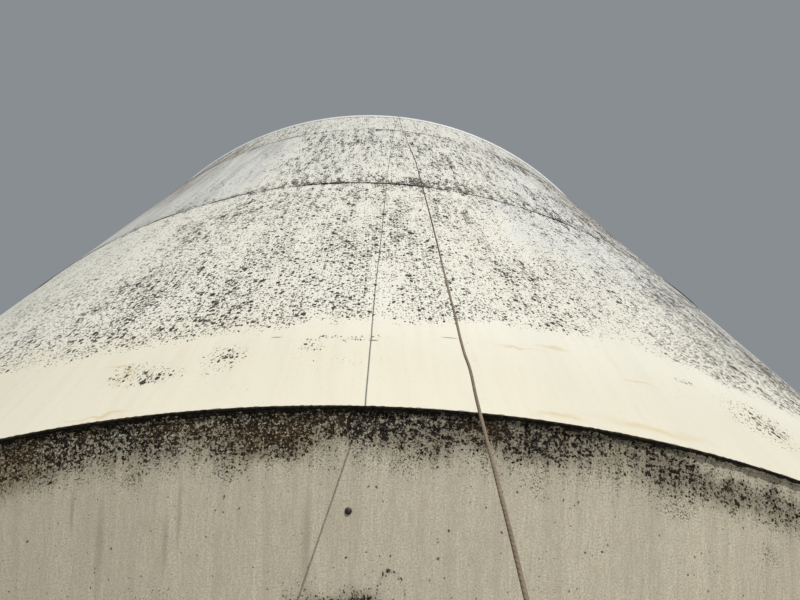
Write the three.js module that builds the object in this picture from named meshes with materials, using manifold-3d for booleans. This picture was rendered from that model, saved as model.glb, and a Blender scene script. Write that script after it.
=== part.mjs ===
// Hopper bottom grain bin: a smooth welded plate bin with a cone under it, on a post frame.
// Millimetres, +Z up, origin on the ground under the middle of the bin.
// The side at -Y is the one where the lid's pull cord hangs.
import * as THREE from 'three';
import { mergeVertices } from 'three/addons/utils/BufferGeometryUtils.js';
import Module from 'manifold-3d';

const wasm = await Module();
wasm.setup();

// Driving dimensions
const GAP = 0.3;
const BIN_RADIUS = 2135;
const WALL_PLATE = 4;
const RIM_Z = 2560;
const BAND_HEIGHT = 267;
const LOWER_COURSE = 1520;
const MIDDLE_COURSE = 1808;
const UPPER_COURSE = 820;
const RIM_LIP = 10;
const CONE_PLATE = 5;
const CONE_SLOPE = THREE.MathUtils.degToRad(45);
const OUTLET_RADIUS = 200;
const ROOF_PLATE = 4;
const ROOF_SLOPE = THREE.MathUtils.degToRad(30);
const ROOF_OVERHANG = 10;
const ROOF_LIP_DROP = 22;
const COLLAR_RADIUS = 300;
const COLLAR_PLATE = 5;
const COLLAR_RISE = 150;
const COLLAR_SKIRT = 40;
const POSTS = 8;
const POST_CIRCLE = 2050;
const POST_SIZE = 120;
const POST_FLANGE = 9;
const POST_WEB = 6;
const FOOT_SIZE = 250;
const FOOT_THICKNESS = 20;
const RING_BEAM_Z = 1250;
const RING_BEAM_CIRCLE = 2062;
const RING_BEAM_HEIGHT = 120;
const RING_BEAM_DEPTH = 50;
const RING_BEAM_PLATE = 7;
const LADDER_AZIMUTH = THREE.MathUtils.degToRad(135);
const LADDER_STANDOFF = 180;
const LADDER_HALF_WIDTH = 200;
const LADDER_BOTTOM = 500;
const LADDER_SPLIT = 3850;
const LADDER_TOP = 7450;
const RAIL_THICKNESS = 12;
const RAIL_DEPTH = 50;
const RUNG_DIAMETER = 22;
const RUNG_PITCH = 300;
const CORD_DIAMETER = 2.4;

// Facets of the round shells: a multiple of four puts a corner on each axis
const FACETS = 96;
const SMALL_FACETS = 48;
const ROUND_BAR_SIDES = 10;
const CORD_SIDES = 8;

// Levels and radii that follow from them
const innerRadius = BIN_RADIUS - WALL_PLATE;
const lowerZ = RIM_Z + BAND_HEIGHT;
const middleZ = lowerZ + LOWER_COURSE;
const upperZ = middleZ + MIDDLE_COURSE;
const eaveZ = upperZ + UPPER_COURSE;
const coneTopRadius = innerRadius - GAP;
const coneTopZ = RIM_Z + RIM_LIP;
const coneBottomZ = coneTopZ - (coneTopRadius - OUTLET_RADIUS) * Math.tan(CONE_SLOPE);
const roofEdgeRadius = BIN_RADIUS + ROOF_OVERHANG;
const roofRise = ROOF_PLATE / Math.cos(ROOF_SLOPE);
const roofTopZ = (radius) => eaveZ + roofRise + (BIN_RADIUS - radius) * Math.tan(ROOF_SLOPE);
const collarTopZ = roofTopZ(COLLAR_RADIUS) + COLLAR_RISE;

// Finishes
const creamPaint = new THREE.MeshStandardMaterial({ color: 0xe9e6d6, roughness: 0.72, metalness: 0.0 });
const shadedPaint = new THREE.MeshStandardMaterial({ color: 0xb4ad99, roughness: 0.78, metalness: 0.0 });
const redOxide = new THREE.MeshStandardMaterial({ color: 0x7b3f37, roughness: 0.7, metalness: 0.1 });
const galvanised = new THREE.MeshStandardMaterial({ color: 0x9a9c9a, roughness: 0.5, metalness: 0.85 });
const cordFinish = new THREE.MeshStandardMaterial({ color: 0x6f6256, roughness: 0.85, metalness: 0.2 });

const bin = new THREE.Group();

function addPiece(name, geometry, material, parent = bin) {
  const mesh = new THREE.Mesh(geometry, material);
  mesh.name = name;
  parent.add(mesh);
}

// A group turned to an azimuth: 0 faces -Y, and it grows towards +X.
// Inside it -Y is outwards from the bin and +X is to the right of someone who faces the bin.
function station(azimuth) {
  const group = new THREE.Group();
  group.rotation.z = azimuth;
  bin.add(group);
  return group;
}

// Turns a closed geometry into a solid that can be joined and cut
function toSolid(geometry) {
  const bare = geometry.clone();
  bare.deleteAttribute('normal');
  bare.deleteAttribute('uv');
  const merged = mergeVertices(bare, 1e-4);
  return new wasm.Manifold(new wasm.Mesh({
    numProp: 3,
    vertProperties: Float32Array.from(merged.attributes.position.array),
    triVerts: Uint32Array.from(merged.index.array),
  }));
}

function toGeometry(solid) {
  const mesh = solid.getMesh();
  const geometry = new THREE.BufferGeometry();
  geometry.setAttribute('position', new THREE.BufferAttribute(mesh.vertProperties, 3));
  geometry.setIndex(new THREE.BufferAttribute(mesh.triVerts, 1));
  return geometry;
}

// Joins geometries and cuts others away
function joined(geometries, cutters = []) {
  let solid = toSolid(geometries[0]);
  geometries.slice(1).forEach((geometry) => {
    solid = solid.add(toSolid(geometry));
  });
  cutters.forEach((geometry) => {
    solid = solid.subtract(toSolid(geometry));
  });
  return toGeometry(solid);
}

// A profile of [radius, height] pairs turned about Z, with its material on the left of the path
function turned(profile, facets) {
  const points = profile.map(([radius, height]) => new THREE.Vector2(radius, height));
  const onAxis = profile[0][0] === 0;
  if (!onAxis) points.push(points[0].clone());
  const geometry = new THREE.LatheGeometry(points, facets);
  geometry.rotateX(Math.PI / 2);
  return geometry;
}

// A box given by its lowest and highest corner
function box(low, high) {
  const size = high.map((value, k) => value - low[k]);
  const geometry = new THREE.BoxGeometry(size[0], size[1], size[2]);
  geometry.translate((low[0] + high[0]) / 2, (low[1] + high[1]) / 2, (low[2] + high[2]) / 2);
  return geometry;
}

// A straight round bar along X
function crossBar(halfLength, y, z, diameter) {
  const geometry = new THREE.CylinderGeometry(diameter / 2, diameter / 2, halfLength * 2, ROUND_BAR_SIDES);
  geometry.rotateZ(Math.PI / 2);
  geometry.translate(0, y, z);
  return geometry;
}

function outline(corners) {
  return new THREE.Shape(corners.map(([x, y]) => new THREE.Vector2(x, y)));
}

// An outline in the X-Y plane, raised from one height to another
function raised(corners, bottom, top) {
  const geometry = new THREE.ExtrudeGeometry(outline(corners), { depth: top - bottom, bevelEnabled: false });
  geometry.translate(0, 0, bottom);
  return geometry;
}

// A round hole in an outline, with straight sides
function roundHole(x, y, radius, sides = 12) {
  const corners = [];
  for (let k = 0; k < sides; k += 1) {
    const turn = -k * 2 * Math.PI / sides;
    corners.push(new THREE.Vector2(x + radius * Math.cos(turn), y + radius * Math.sin(turn)));
  }
  return new THREE.Path(corners);
}

// A plate drawn in side view as [distance out from the bin's axis, height], centred at x
function sidePlate(corners, thickness, x = 0, holes = []) {
  const shape = outline(corners);
  shape.holes.push(...holes);
  const geometry = new THREE.ExtrudeGeometry(shape, { depth: thickness, bevelEnabled: false });
  geometry.translate(0, 0, -thickness / 2);
  geometry.rotateX(Math.PI / 2);
  geometry.rotateZ(-Math.PI / 2);
  geometry.translate(x, 0, 0);
  return geometry;
}

// A bar of one section, drawn as [y, z], that runs along X
function alongX(corners, halfLength) {
  const geometry = new THREE.ExtrudeGeometry(outline(corners), { depth: halfLength * 2, bevelEnabled: false });
  geometry.translate(0, 0, -halfLength);
  geometry.rotateY(Math.PI / 2);
  geometry.rotateX(Math.PI / 2);
  return geometry;
}

// The round wall: the band at the rim and the three courses above it

function wallRing(bottom, height) {
  const top = bottom + height - GAP;
  return turned([
    [BIN_RADIUS, bottom],
    [BIN_RADIUS, top],
    [innerRadius, top],
    [innerRadius, bottom],
  ], FACETS);
}

addPiece('hopper_band', wallRing(RIM_Z, BAND_HEIGHT), creamPaint);
addPiece('wall_course_lower', wallRing(lowerZ, LOWER_COURSE), creamPaint);
addPiece('wall_course_middle', wallRing(middleZ, MIDDLE_COURSE), creamPaint);
addPiece('wall_course_upper', wallRing(upperZ, UPPER_COURSE), creamPaint);

// The hopper cone, tucked inside the rim

const coneAcross = CONE_PLATE / Math.sin(CONE_SLOPE);

addPiece('hopper_cone', turned([
  [OUTLET_RADIUS, coneBottomZ],
  [coneTopRadius, coneTopZ],
  [coneTopRadius - coneAcross, coneTopZ],
  [OUTLET_RADIUS - coneAcross, coneBottomZ],
], FACETS), shadedPaint);

// All that lies above the cone's outer face, lowered by the gap, to cut the posts with
const coneEnvelope = turned([
  [0, coneBottomZ],
  [OUTLET_RADIUS + GAP, coneBottomZ],
  [coneTopRadius + BIN_RADIUS + GAP, coneTopZ + BIN_RADIUS * Math.tan(CONE_SLOPE)],
  [0, coneTopZ + BIN_RADIUS * Math.tan(CONE_SLOPE)],
], FACETS);

// The roof, its edge rolled down over the wall's top

addPiece('roof_cone', turned([
  [BIN_RADIUS + GAP, roofTopZ(roofEdgeRadius) - ROOF_LIP_DROP],
  [roofEdgeRadius, roofTopZ(roofEdgeRadius) - ROOF_LIP_DROP],
  [roofEdgeRadius, roofTopZ(roofEdgeRadius)],
  [COLLAR_RADIUS + GAP, roofTopZ(COLLAR_RADIUS + GAP)],
  [COLLAR_RADIUS + GAP, roofTopZ(COLLAR_RADIUS + GAP) - roofRise],
  [BIN_RADIUS + GAP, roofTopZ(BIN_RADIUS + GAP) - roofRise],
], FACETS), creamPaint);

// All that lies under the roof's outer face, raised by the gap, to seat pieces on it
const roofEnvelope = turned([
  [0, eaveZ - BIN_RADIUS],
  [BIN_RADIUS * 2, eaveZ - BIN_RADIUS],
  [BIN_RADIUS * 2, roofTopZ(BIN_RADIUS * 2) + GAP],
  [0, roofTopZ(0) + GAP],
], FACETS);

// All that lies inside the wall's outer face, grown by the gap
const wallEnvelope = turned([
  [0, 0],
  [BIN_RADIUS + GAP, 0],
  [BIN_RADIUS + GAP, eaveZ],
  [0, eaveZ],
], FACETS);

addPiece('fill_collar', turned([
  [COLLAR_RADIUS, roofTopZ(COLLAR_RADIUS) - COLLAR_SKIRT],
  [COLLAR_RADIUS, collarTopZ],
  [COLLAR_RADIUS - COLLAR_PLATE, collarTopZ],
  [COLLAR_RADIUS - COLLAR_PLATE, roofTopZ(COLLAR_RADIUS) - COLLAR_SKIRT],
], SMALL_FACETS), creamPaint);

// The lid, a shallow cone with a flat crown and a skirt outside the collar

const LID_RADIUS = 325;
const LID_PLATE = 4;
const LID_SKIRT = 45;
const LID_RISE = 55;
const LID_CROWN = 60;
const lidSeatZ = collarTopZ + GAP;
const lidTopZ = lidSeatZ + LID_RISE;

addPiece('fill_lid', turned([
  [0, lidTopZ - LID_PLATE],
  [LID_CROWN, lidTopZ - LID_PLATE],
  [COLLAR_RADIUS, lidSeatZ],
  [LID_RADIUS - LID_PLATE, lidSeatZ],
  [LID_RADIUS - LID_PLATE, lidSeatZ - LID_SKIRT],
  [LID_RADIUS, lidSeatZ - LID_SKIRT],
  [LID_RADIUS, lidSeatZ + LID_PLATE],
  [LID_CROWN, lidTopZ],
  [0, lidTopZ],
], SMALL_FACETS), galvanised);

// The lid's hinge, its lever and the cord's guide stand in the cord's own upright plane

const CORD_AZIMUTH = Math.atan2(127, 2145);
const cordSide = station(CORD_AZIMUTH);

const HINGE_OUT = 372;
const HINGE_PIN = 16;
const PIN_CLEARANCE = 0.35;
const HINGE_EAR = 10;
const HINGE_EAR_X = 14;
const LEVER_PLATE = 12;
const LEVER_REACH = 228;
const LEVER_CLIMB = 190;
const LEVER_EYE = 9;
const hingeZ = collarTopZ + 42;
const eyeOut = HINGE_OUT + LEVER_REACH;
const eyeZ = hingeZ + LEVER_CLIMB;

function hingeEar(x) {
  return sidePlate([
    [COLLAR_RADIUS + GAP, collarTopZ - 110],
    [340, collarTopZ - 110],
    [388, collarTopZ - 40],
    [392, hingeZ],
    [383, hingeZ + 14],
    [361, hingeZ + 14],
    [352, hingeZ],
    [340, collarTopZ - 50],
    [COLLAR_RADIUS + GAP, collarTopZ - 62],
  ], HINGE_EAR, x);
}

addPiece('lid_hinge', joined([
  hingeEar(-HINGE_EAR_X),
  hingeEar(HINGE_EAR_X),
  box([-HINGE_EAR_X, -335, collarTopZ - 105], [HINGE_EAR_X, -COLLAR_RADIUS - GAP, collarTopZ - 85]),
  crossBar(HINGE_EAR_X + 14, -HINGE_OUT, hingeZ, HINGE_PIN),
]), redOxide, cordSide);

addPiece('lid_lever', sidePlate([
  [20, lidTopZ + GAP],
  [LID_CROWN, lidTopZ + GAP],
  [HINGE_OUT - 20, hingeZ - 20],
  [HINGE_OUT + 22, hingeZ - 18],
  [eyeOut + 22, eyeZ - 10],
  [eyeOut + 14, eyeZ + 16],
  [eyeOut - 12, eyeZ + 18],
  [HINGE_OUT - 4, hingeZ + 26],
  [LID_CROWN, lidTopZ + 40],
  [20, lidTopZ + 40],
], LEVER_PLATE, 0, [
  roundHole(HINGE_OUT, hingeZ, HINGE_PIN / 2 + PIN_CLEARANCE),
  roundHole(eyeOut, eyeZ, LEVER_EYE),
]), redOxide, cordSide);

// The cord leaves the lever's lower edge under the eye, runs straight to the roof's rolled edge
// and bends over it, so the bend's circle is set against the edge's outer corner

const BEND_RADIUS = 13.5;
const bendOut = roofEdgeRadius - 9;
const bendZ = roofTopZ(roofEdgeRadius) - 7.8;
const cordStartOut = eyeOut + 6.4;
const cordStartZ = eyeZ - 24.4;

// Where a line from the start touches the bend's circle on its upper side
const toBend = new THREE.Vector2(bendOut - cordStartOut, bendZ - cordStartZ);
const runAngle = Math.atan2(toBend.y, toBend.x) + Math.asin(BEND_RADIUS / toBend.length());
const runDirection = new THREE.Vector2(Math.cos(runAngle), Math.sin(runAngle));
const runLength = Math.sqrt(toBend.lengthSq() - BEND_RADIUS * BEND_RADIUS);

// A guide eye near the roof's edge, a plate with a hole that the cord passes through

const GUIDE_OUT = 2060;
const GUIDE_PLATE = 6;
const GUIDE_HALF_WIDTH = 22;
const GUIDE_HOLE = 8;
const GUIDE_BASE_LENGTH = 60;
const guideCordZ = cordStartZ + (GUIDE_OUT - cordStartOut) * Math.tan(runAngle);

function guideGeometry() {
  const shape = outline([
    [-GUIDE_HALF_WIDTH, guideCordZ - 60],
    [GUIDE_HALF_WIDTH, guideCordZ - 60],
    [GUIDE_HALF_WIDTH, guideCordZ + 4],
    [GUIDE_HALF_WIDTH - 10, guideCordZ + 20],
    [10 - GUIDE_HALF_WIDTH, guideCordZ + 20],
    [-GUIDE_HALF_WIDTH, guideCordZ + 4],
  ]);
  shape.holes.push(roundHole(0, guideCordZ, GUIDE_HOLE));
  const plate = new THREE.ExtrudeGeometry(shape, { depth: GUIDE_PLATE, bevelEnabled: false });
  plate.rotateX(Math.PI / 2);
  plate.translate(0, GUIDE_PLATE / 2 - GUIDE_OUT, 0);
  const foot = sidePlate([
    [GUIDE_OUT - GUIDE_BASE_LENGTH, roofTopZ(GUIDE_OUT - GUIDE_BASE_LENGTH) - 30],
    [GUIDE_OUT + GUIDE_PLATE, roofTopZ(GUIDE_OUT + GUIDE_PLATE) - 30],
    [GUIDE_OUT + GUIDE_PLATE, roofTopZ(GUIDE_OUT + GUIDE_PLATE) + 7],
    [GUIDE_OUT - GUIDE_BASE_LENGTH, roofTopZ(GUIDE_OUT - GUIDE_BASE_LENGTH) + 7],
  ], GUIDE_HALF_WIDTH * 2);
  const roofHere = roofEnvelope.clone();
  roofHere.rotateZ(-CORD_AZIMUTH);
  return joined([plate, foot], [roofHere]);
}

addPiece('cord_guide', guideGeometry(), redOxide, cordSide);

// The outlet: a throat under the cone, a slide gate and a short spout

const THROAT_HEIGHT = 80;
const THROAT_PLATE = 7;
const FLANGE_HALF = 240;
const FLANGE_PLATE = 10;
const GATE_FRAME_HEIGHT = 40;
const GATE_OPENING_HALF = 193;
const GATE_SLOT_HALF = 200;
const GATE_PLATE = 6;
const GATE_REACH = 380;
const GATE_BAR_DIAMETER = 20;
const SPOUT_HEIGHT = 100;
const SPOUT_FLANGE_RADIUS = 240;
const throatTopZ = coneBottomZ - GAP;
const throatBottomZ = throatTopZ - THROAT_HEIGHT;
const gateTopZ = throatBottomZ - GAP;
const gateBottomZ = gateTopZ - GATE_FRAME_HEIGHT;
const gateZ = (gateTopZ + gateBottomZ) / 2;
const spoutTopZ = gateBottomZ - GAP;
const throatInside = OUTLET_RADIUS - THROAT_PLATE;

const throatTube = turned([
  [OUTLET_RADIUS, throatBottomZ],
  [OUTLET_RADIUS, throatTopZ],
  [throatInside, throatTopZ],
  [throatInside, throatBottomZ],
], SMALL_FACETS);
const throatBore = turned([
  [0, throatBottomZ - FLANGE_PLATE],
  [throatInside, throatBottomZ - FLANGE_PLATE],
  [throatInside, throatTopZ],
  [0, throatTopZ],
], SMALL_FACETS);
const throatFlange = box(
  [-FLANGE_HALF, -FLANGE_HALF, throatBottomZ],
  [FLANGE_HALF, FLANGE_HALF, throatBottomZ + FLANGE_PLATE],
);

addPiece('outlet_throat', joined([throatFlange, throatTube], [throatBore]), shadedPaint);

addPiece('gate_frame', joined([
  box([-FLANGE_HALF, -FLANGE_HALF, gateBottomZ], [FLANGE_HALF, FLANGE_HALF, gateTopZ]),
], [
  box(
    [-GATE_OPENING_HALF, -GATE_OPENING_HALF, gateBottomZ - GAP],
    [GATE_OPENING_HALF, GATE_OPENING_HALF, gateTopZ + GAP],
  ),
  box(
    [-GATE_SLOT_HALF, -FLANGE_HALF - GAP, gateZ - GATE_PLATE / 2 - GAP],
    [GATE_SLOT_HALF, GATE_SLOT_HALF, gateZ + GATE_PLATE / 2 + GAP],
  ),
]), galvanised);

addPiece('gate_plate', box(
  [GAP - GATE_SLOT_HALF, -GATE_REACH, gateZ - GATE_PLATE / 2],
  [GATE_SLOT_HALF - GAP, GATE_SLOT_HALF - GAP, gateZ + GATE_PLATE / 2],
), galvanised);

addPiece('gate_handle', joined([
  crossBar(130, -GATE_REACH - 30, gateZ, GATE_BAR_DIAMETER),
  box([-70, -GATE_REACH - 28, gateZ - 7], [-50, -GATE_REACH - GAP, gateZ + 7]),
  box([50, -GATE_REACH - 28, gateZ - 7], [70, -GATE_REACH - GAP, gateZ + 7]),
  box([-75, -GATE_REACH - GAP - 8, gateZ - 12], [75, -GATE_REACH - GAP, gateZ + 12]),
]), redOxide);

addPiece('outlet_spout', turned([
  [OUTLET_RADIUS, spoutTopZ - SPOUT_HEIGHT],
  [OUTLET_RADIUS, spoutTopZ - FLANGE_PLATE],
  [SPOUT_FLANGE_RADIUS, spoutTopZ - FLANGE_PLATE],
  [SPOUT_FLANGE_RADIUS, spoutTopZ],
  [throatInside, spoutTopZ],
  [throatInside, spoutTopZ - SPOUT_HEIGHT],
], SMALL_FACETS), galvanised);

// The posts: H sections on foot plates, their tops cut to the cone

const postHalf = POST_SIZE / 2;
const webHalf = POST_WEB / 2;
const flangeInside = postHalf - POST_FLANGE;
const hSection = [
  [-postHalf, -postHalf],
  [postHalf, -postHalf],
  [postHalf, -flangeInside],
  [webHalf, -flangeInside],
  [webHalf, flangeInside],
  [postHalf, flangeInside],
  [postHalf, postHalf],
  [-postHalf, postHalf],
  [-postHalf, flangeInside],
  [-webHalf, flangeInside],
  [-webHalf, -flangeInside],
  [-postHalf, -flangeInside],
];
const postPitch = 2 * Math.PI / POSTS;

const postBlank = raised(hSection, FOOT_THICKNESS / 2, RIM_Z);
postBlank.translate(0, -POST_CIRCLE, 0);
const footPlate = box(
  [-FOOT_SIZE / 2, -POST_CIRCLE - FOOT_SIZE / 2, 0],
  [FOOT_SIZE / 2, -POST_CIRCLE + FOOT_SIZE / 2, FOOT_THICKNESS],
);
const postGeometry = joined([postBlank, footPlate], [coneEnvelope]);

for (let k = 0; k < POSTS; k += 1) {
  addPiece(`post_${k + 1}`, postGeometry, redOxide, station((k + 0.5) * postPitch));
}

// The ring beams: channels from web to web of neighbouring posts

const beamOut = RING_BEAM_CIRCLE * Math.cos(postPitch / 2);
const beamHalfLength = RING_BEAM_CIRCLE * Math.sin(postPitch / 2) + postHalf;
const beamFace = -beamOut - RING_BEAM_DEPTH / 2;
const beamTop = RING_BEAM_Z + RING_BEAM_HEIGHT / 2;
const beamBottom = RING_BEAM_Z - RING_BEAM_HEIGHT / 2;
const channelSection = [
  [beamFace, beamBottom],
  [beamFace + RING_BEAM_DEPTH, beamBottom],
  [beamFace + RING_BEAM_DEPTH, beamBottom + RING_BEAM_PLATE],
  [beamFace + RING_BEAM_PLATE, beamBottom + RING_BEAM_PLATE],
  [beamFace + RING_BEAM_PLATE, beamTop - RING_BEAM_PLATE],
  [beamFace + RING_BEAM_DEPTH, beamTop - RING_BEAM_PLATE],
  [beamFace + RING_BEAM_DEPTH, beamTop],
  [beamFace, beamTop],
];

// What lies past the near face of a post's web, on the side that sign names
function beyondWeb(sign) {
  const reach = POST_SIZE * 3;
  const cutter = box([-webHalf - GAP, -reach, -reach], [reach, reach, reach]);
  if (sign < 0) cutter.rotateZ(Math.PI);
  cutter.translate(0, -POST_CIRCLE, RING_BEAM_Z);
  cutter.rotateZ(sign * postPitch / 2);
  return cutter;
}

const beamGeometry = joined([alongX(channelSection, beamHalfLength)], [beyondWeb(1), beyondWeb(-1)]);

for (let k = 0; k < POSTS; k += 1) {
  addPiece(`ring_beam_${k + 1}`, beamGeometry, redOxide, station(k * postPitch));
}

// The ladder up the wall, in the bay opposite the cord, and its rungs on over the roof

const ladderSide = station(LADDER_AZIMUTH);
const ladderY = -BIN_RADIUS - LADDER_STANDOFF;
const bracketInside = LADDER_HALF_WIDTH + RAIL_THICKNESS / 2 + GAP;
const BRACKET_PLATE = 8;
const BRACKET_HEIGHT = 50;
const BRACKET_LEVELS = [2700, 3600, 4900, 6200, 6880];
const rungs = Math.floor((LADDER_TOP - LADDER_BOTTOM - RUNG_PITCH / 3) / RUNG_PITCH);

function ladderLength(bottom, top) {
  const rails = [-LADDER_HALF_WIDTH, LADDER_HALF_WIDTH].map((x) => box(
    [x - RAIL_THICKNESS / 2, ladderY - RAIL_DEPTH / 2, bottom],
    [x + RAIL_THICKNESS / 2, ladderY + RAIL_DEPTH / 2, top],
  ));
  const bars = [];
  for (let k = 0; k <= rungs; k += 1) {
    const z = LADDER_BOTTOM + RUNG_PITCH / 3 + k * RUNG_PITCH;
    if (z > bottom && z < top) bars.push(crossBar(LADDER_HALF_WIDTH, ladderY, z, RUNG_DIAMETER));
  }
  return joined([...bars, ...rails]);
}

addPiece('ladder_lower', ladderLength(LADDER_BOTTOM, LADDER_SPLIT - GAP), redOxide, ladderSide);
addPiece('ladder_upper', ladderLength(LADDER_SPLIT, LADDER_TOP), redOxide, ladderSide);

// A bracket's two arms beside the rails, from a base at baseY out past the ladder
function bracketArms(baseY, z) {
  return [-1, 1].map((side) => {
    const inner = side * bracketInside;
    const outer = side * (bracketInside + BRACKET_PLATE);
    return box(
      [Math.min(inner, outer), ladderY - RAIL_DEPTH / 2, z - BRACKET_HEIGHT / 2],
      [Math.max(inner, outer), baseY, z + BRACKET_HEIGHT / 2],
    );
  });
}

BRACKET_LEVELS.forEach((z, k) => {
  const baseY = -BIN_RADIUS - 6;
  const base = box(
    [-bracketInside - BRACKET_PLATE, baseY - BRACKET_PLATE, z - BRACKET_HEIGHT / 2],
    [bracketInside + BRACKET_PLATE, baseY + 30, z + BRACKET_HEIGHT / 2],
  );
  const bracket = joined([base, ...bracketArms(baseY, z)], [wallEnvelope]);
  addPiece(`ladder_bracket_${k + 1}`, bracket, redOxide, ladderSide);
});

const stayBaseY = beamFace - GAP;
addPiece('ladder_stay', joined([
  box(
    [-bracketInside - BRACKET_PLATE, stayBaseY - BRACKET_PLATE, RING_BEAM_Z - BRACKET_HEIGHT / 2],
    [bracketInside + BRACKET_PLATE, stayBaseY, RING_BEAM_Z + BRACKET_HEIGHT / 2],
  ),
  ...bracketArms(stayBaseY, RING_BEAM_Z),
]), redOxide, ladderSide);

const ROOF_LADDER_LOW = 2120;
const ROOF_LADDER_HIGH = 470;
const ROOF_RAIL_RISE = 55;
const ROOF_RAIL_SINK = 40;
const ROOF_RUNG_RISE = 34;

function roofLadder() {
  const rails = [-LADDER_HALF_WIDTH, LADDER_HALF_WIDTH].map((x) => sidePlate([
    [ROOF_LADDER_HIGH, roofTopZ(ROOF_LADDER_HIGH) - ROOF_RAIL_SINK],
    [ROOF_LADDER_LOW, roofTopZ(ROOF_LADDER_LOW) - ROOF_RAIL_SINK],
    [ROOF_LADDER_LOW, roofTopZ(ROOF_LADDER_LOW) + ROOF_RAIL_RISE],
    [ROOF_LADDER_HIGH, roofTopZ(ROOF_LADDER_HIGH) + ROOF_RAIL_RISE],
  ], RAIL_THICKNESS, x));
  const bars = [];
  const run = RUNG_PITCH * Math.cos(ROOF_SLOPE);
  for (let out = ROOF_LADDER_HIGH + 100; out < ROOF_LADDER_LOW; out += run) {
    bars.push(crossBar(LADDER_HALF_WIDTH, -out, roofTopZ(out) + ROOF_RUNG_RISE, RUNG_DIAMETER));
  }
  return joined([...bars, ...rails], [roofEnvelope]);
}

addPiece('roof_ladder', roofLadder(), redOxide, ladderSide);

// The pull cord: a straight run over the roof, the bend over its edge, and the drop

// Places of the drop below the bend, from top to bottom, in the bin's own frame
const dropPoints = [
  [125.5, -2150.5, 6900],
  [121.5, -2165, 6700],
  [115.5, -2191, 6350],
  [109, -2218, 5960],
  [105, -2240, 5580],
  [100, -2272, 5000],
  [97, -2302, 4475],
  [96, -2330, 3945],
  [94.5, -2353.5, 3500],
  [91, -2365, 3200],
  [89, -2371.5, 2930],
  [87, -2376.5, 2700],
  [84, -2383, 2505],
  [80.5, -2391.5, 2370],
  [78, -2399, 2255],
  [75.5, -2405.5, 2150],
  [74, -2411, 2060],
  [71.5, -2418, 1965],
  [70, -2422, 1900],
  [68, -2426.5, 1835],
  [65.5, -2432.5, 1750],
].map(([x, y, z]) => new THREE.Vector3(x, y, z));

const DROP_LEAN = THREE.MathUtils.degToRad(5);
const RUN_STEPS = 4;
const BEND_STEPS = 8;
const DROP_STEPS = 60;
const KNOT_RADIUS = 5;

// From the cord's side view to the bin's frame
function fromSideView(out, z) {
  return new THREE.Vector3(out * Math.sin(CORD_AZIMUTH), -out * Math.cos(CORD_AZIMUTH), z);
}

function onBend(angle) {
  return fromSideView(bendOut + BEND_RADIUS * Math.cos(angle), bendZ + BEND_RADIUS * Math.sin(angle));
}

function cordTube(path, steps) {
  const corners = [];
  for (let k = 0; k < CORD_SIDES; k += 1) {
    const turn = k * 2 * Math.PI / CORD_SIDES;
    corners.push([CORD_DIAMETER / 2 * Math.cos(turn), CORD_DIAMETER / 2 * Math.sin(turn)]);
  }
  return new THREE.ExtrudeGeometry(outline(corners), { steps, extrudePath: path, bevelEnabled: false });
}

const runStart = fromSideView(cordStartOut, cordStartZ);
const runEnd = fromSideView(
  cordStartOut + (runLength - GAP) * runDirection.x,
  cordStartZ + (runLength - GAP) * runDirection.y,
);
addPiece('pull_cord_run', cordTube(new THREE.LineCurve3(runStart, runEnd), RUN_STEPS), cordFinish);

const bendPoints = [];
for (let k = 0; k <= BEND_STEPS; k += 1) {
  const share = k / BEND_STEPS;
  bendPoints.push(onBend((runAngle + Math.PI / 2) * (1 - share) + DROP_LEAN * share));
}
addPiece('pull_cord_bend', cordTube(new THREE.CatmullRomCurve3(bendPoints), BEND_STEPS), cordFinish);

const dropStart = onBend(DROP_LEAN);
dropStart.z -= GAP;
const dropPath = new THREE.CatmullRomCurve3([dropStart, ...dropPoints]);
addPiece('pull_cord_drop', cordTube(dropPath, DROP_STEPS), cordFinish);

const cordEnd = dropPoints[dropPoints.length - 1];
const knot = new THREE.SphereGeometry(KNOT_RADIUS, 12, 8);
knot.translate(cordEnd.x, cordEnd.y, cordEnd.z - KNOT_RADIUS - GAP);
addPiece('cord_knot', knot, cordFinish);

export default bin;
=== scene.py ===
"""Looks of the hopper bottom grain bin: painted plate under lichen and mould, on a red oxide post frame."""
import math

import bmesh
import bpy
import numpy as np
from mathutils import Matrix, Vector


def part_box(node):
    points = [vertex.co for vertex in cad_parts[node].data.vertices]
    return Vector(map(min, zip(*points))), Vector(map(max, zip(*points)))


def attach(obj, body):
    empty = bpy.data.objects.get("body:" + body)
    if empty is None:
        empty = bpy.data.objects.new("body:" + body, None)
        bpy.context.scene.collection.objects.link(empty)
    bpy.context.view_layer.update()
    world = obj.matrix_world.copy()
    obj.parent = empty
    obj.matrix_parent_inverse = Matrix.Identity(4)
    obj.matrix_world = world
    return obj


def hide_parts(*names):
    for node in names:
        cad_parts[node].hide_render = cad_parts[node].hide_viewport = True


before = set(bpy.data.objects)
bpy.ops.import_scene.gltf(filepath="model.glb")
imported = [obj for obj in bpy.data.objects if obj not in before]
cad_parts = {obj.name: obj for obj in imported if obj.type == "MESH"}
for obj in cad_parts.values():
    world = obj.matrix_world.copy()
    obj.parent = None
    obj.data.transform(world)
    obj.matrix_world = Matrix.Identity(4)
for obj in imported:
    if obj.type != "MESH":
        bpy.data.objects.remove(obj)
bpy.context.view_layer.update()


def extent(node):
    """A CAD piece's reach towards +X, and its lowest and highest z."""
    low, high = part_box(node)
    return high.x, low.z, high.z


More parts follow.
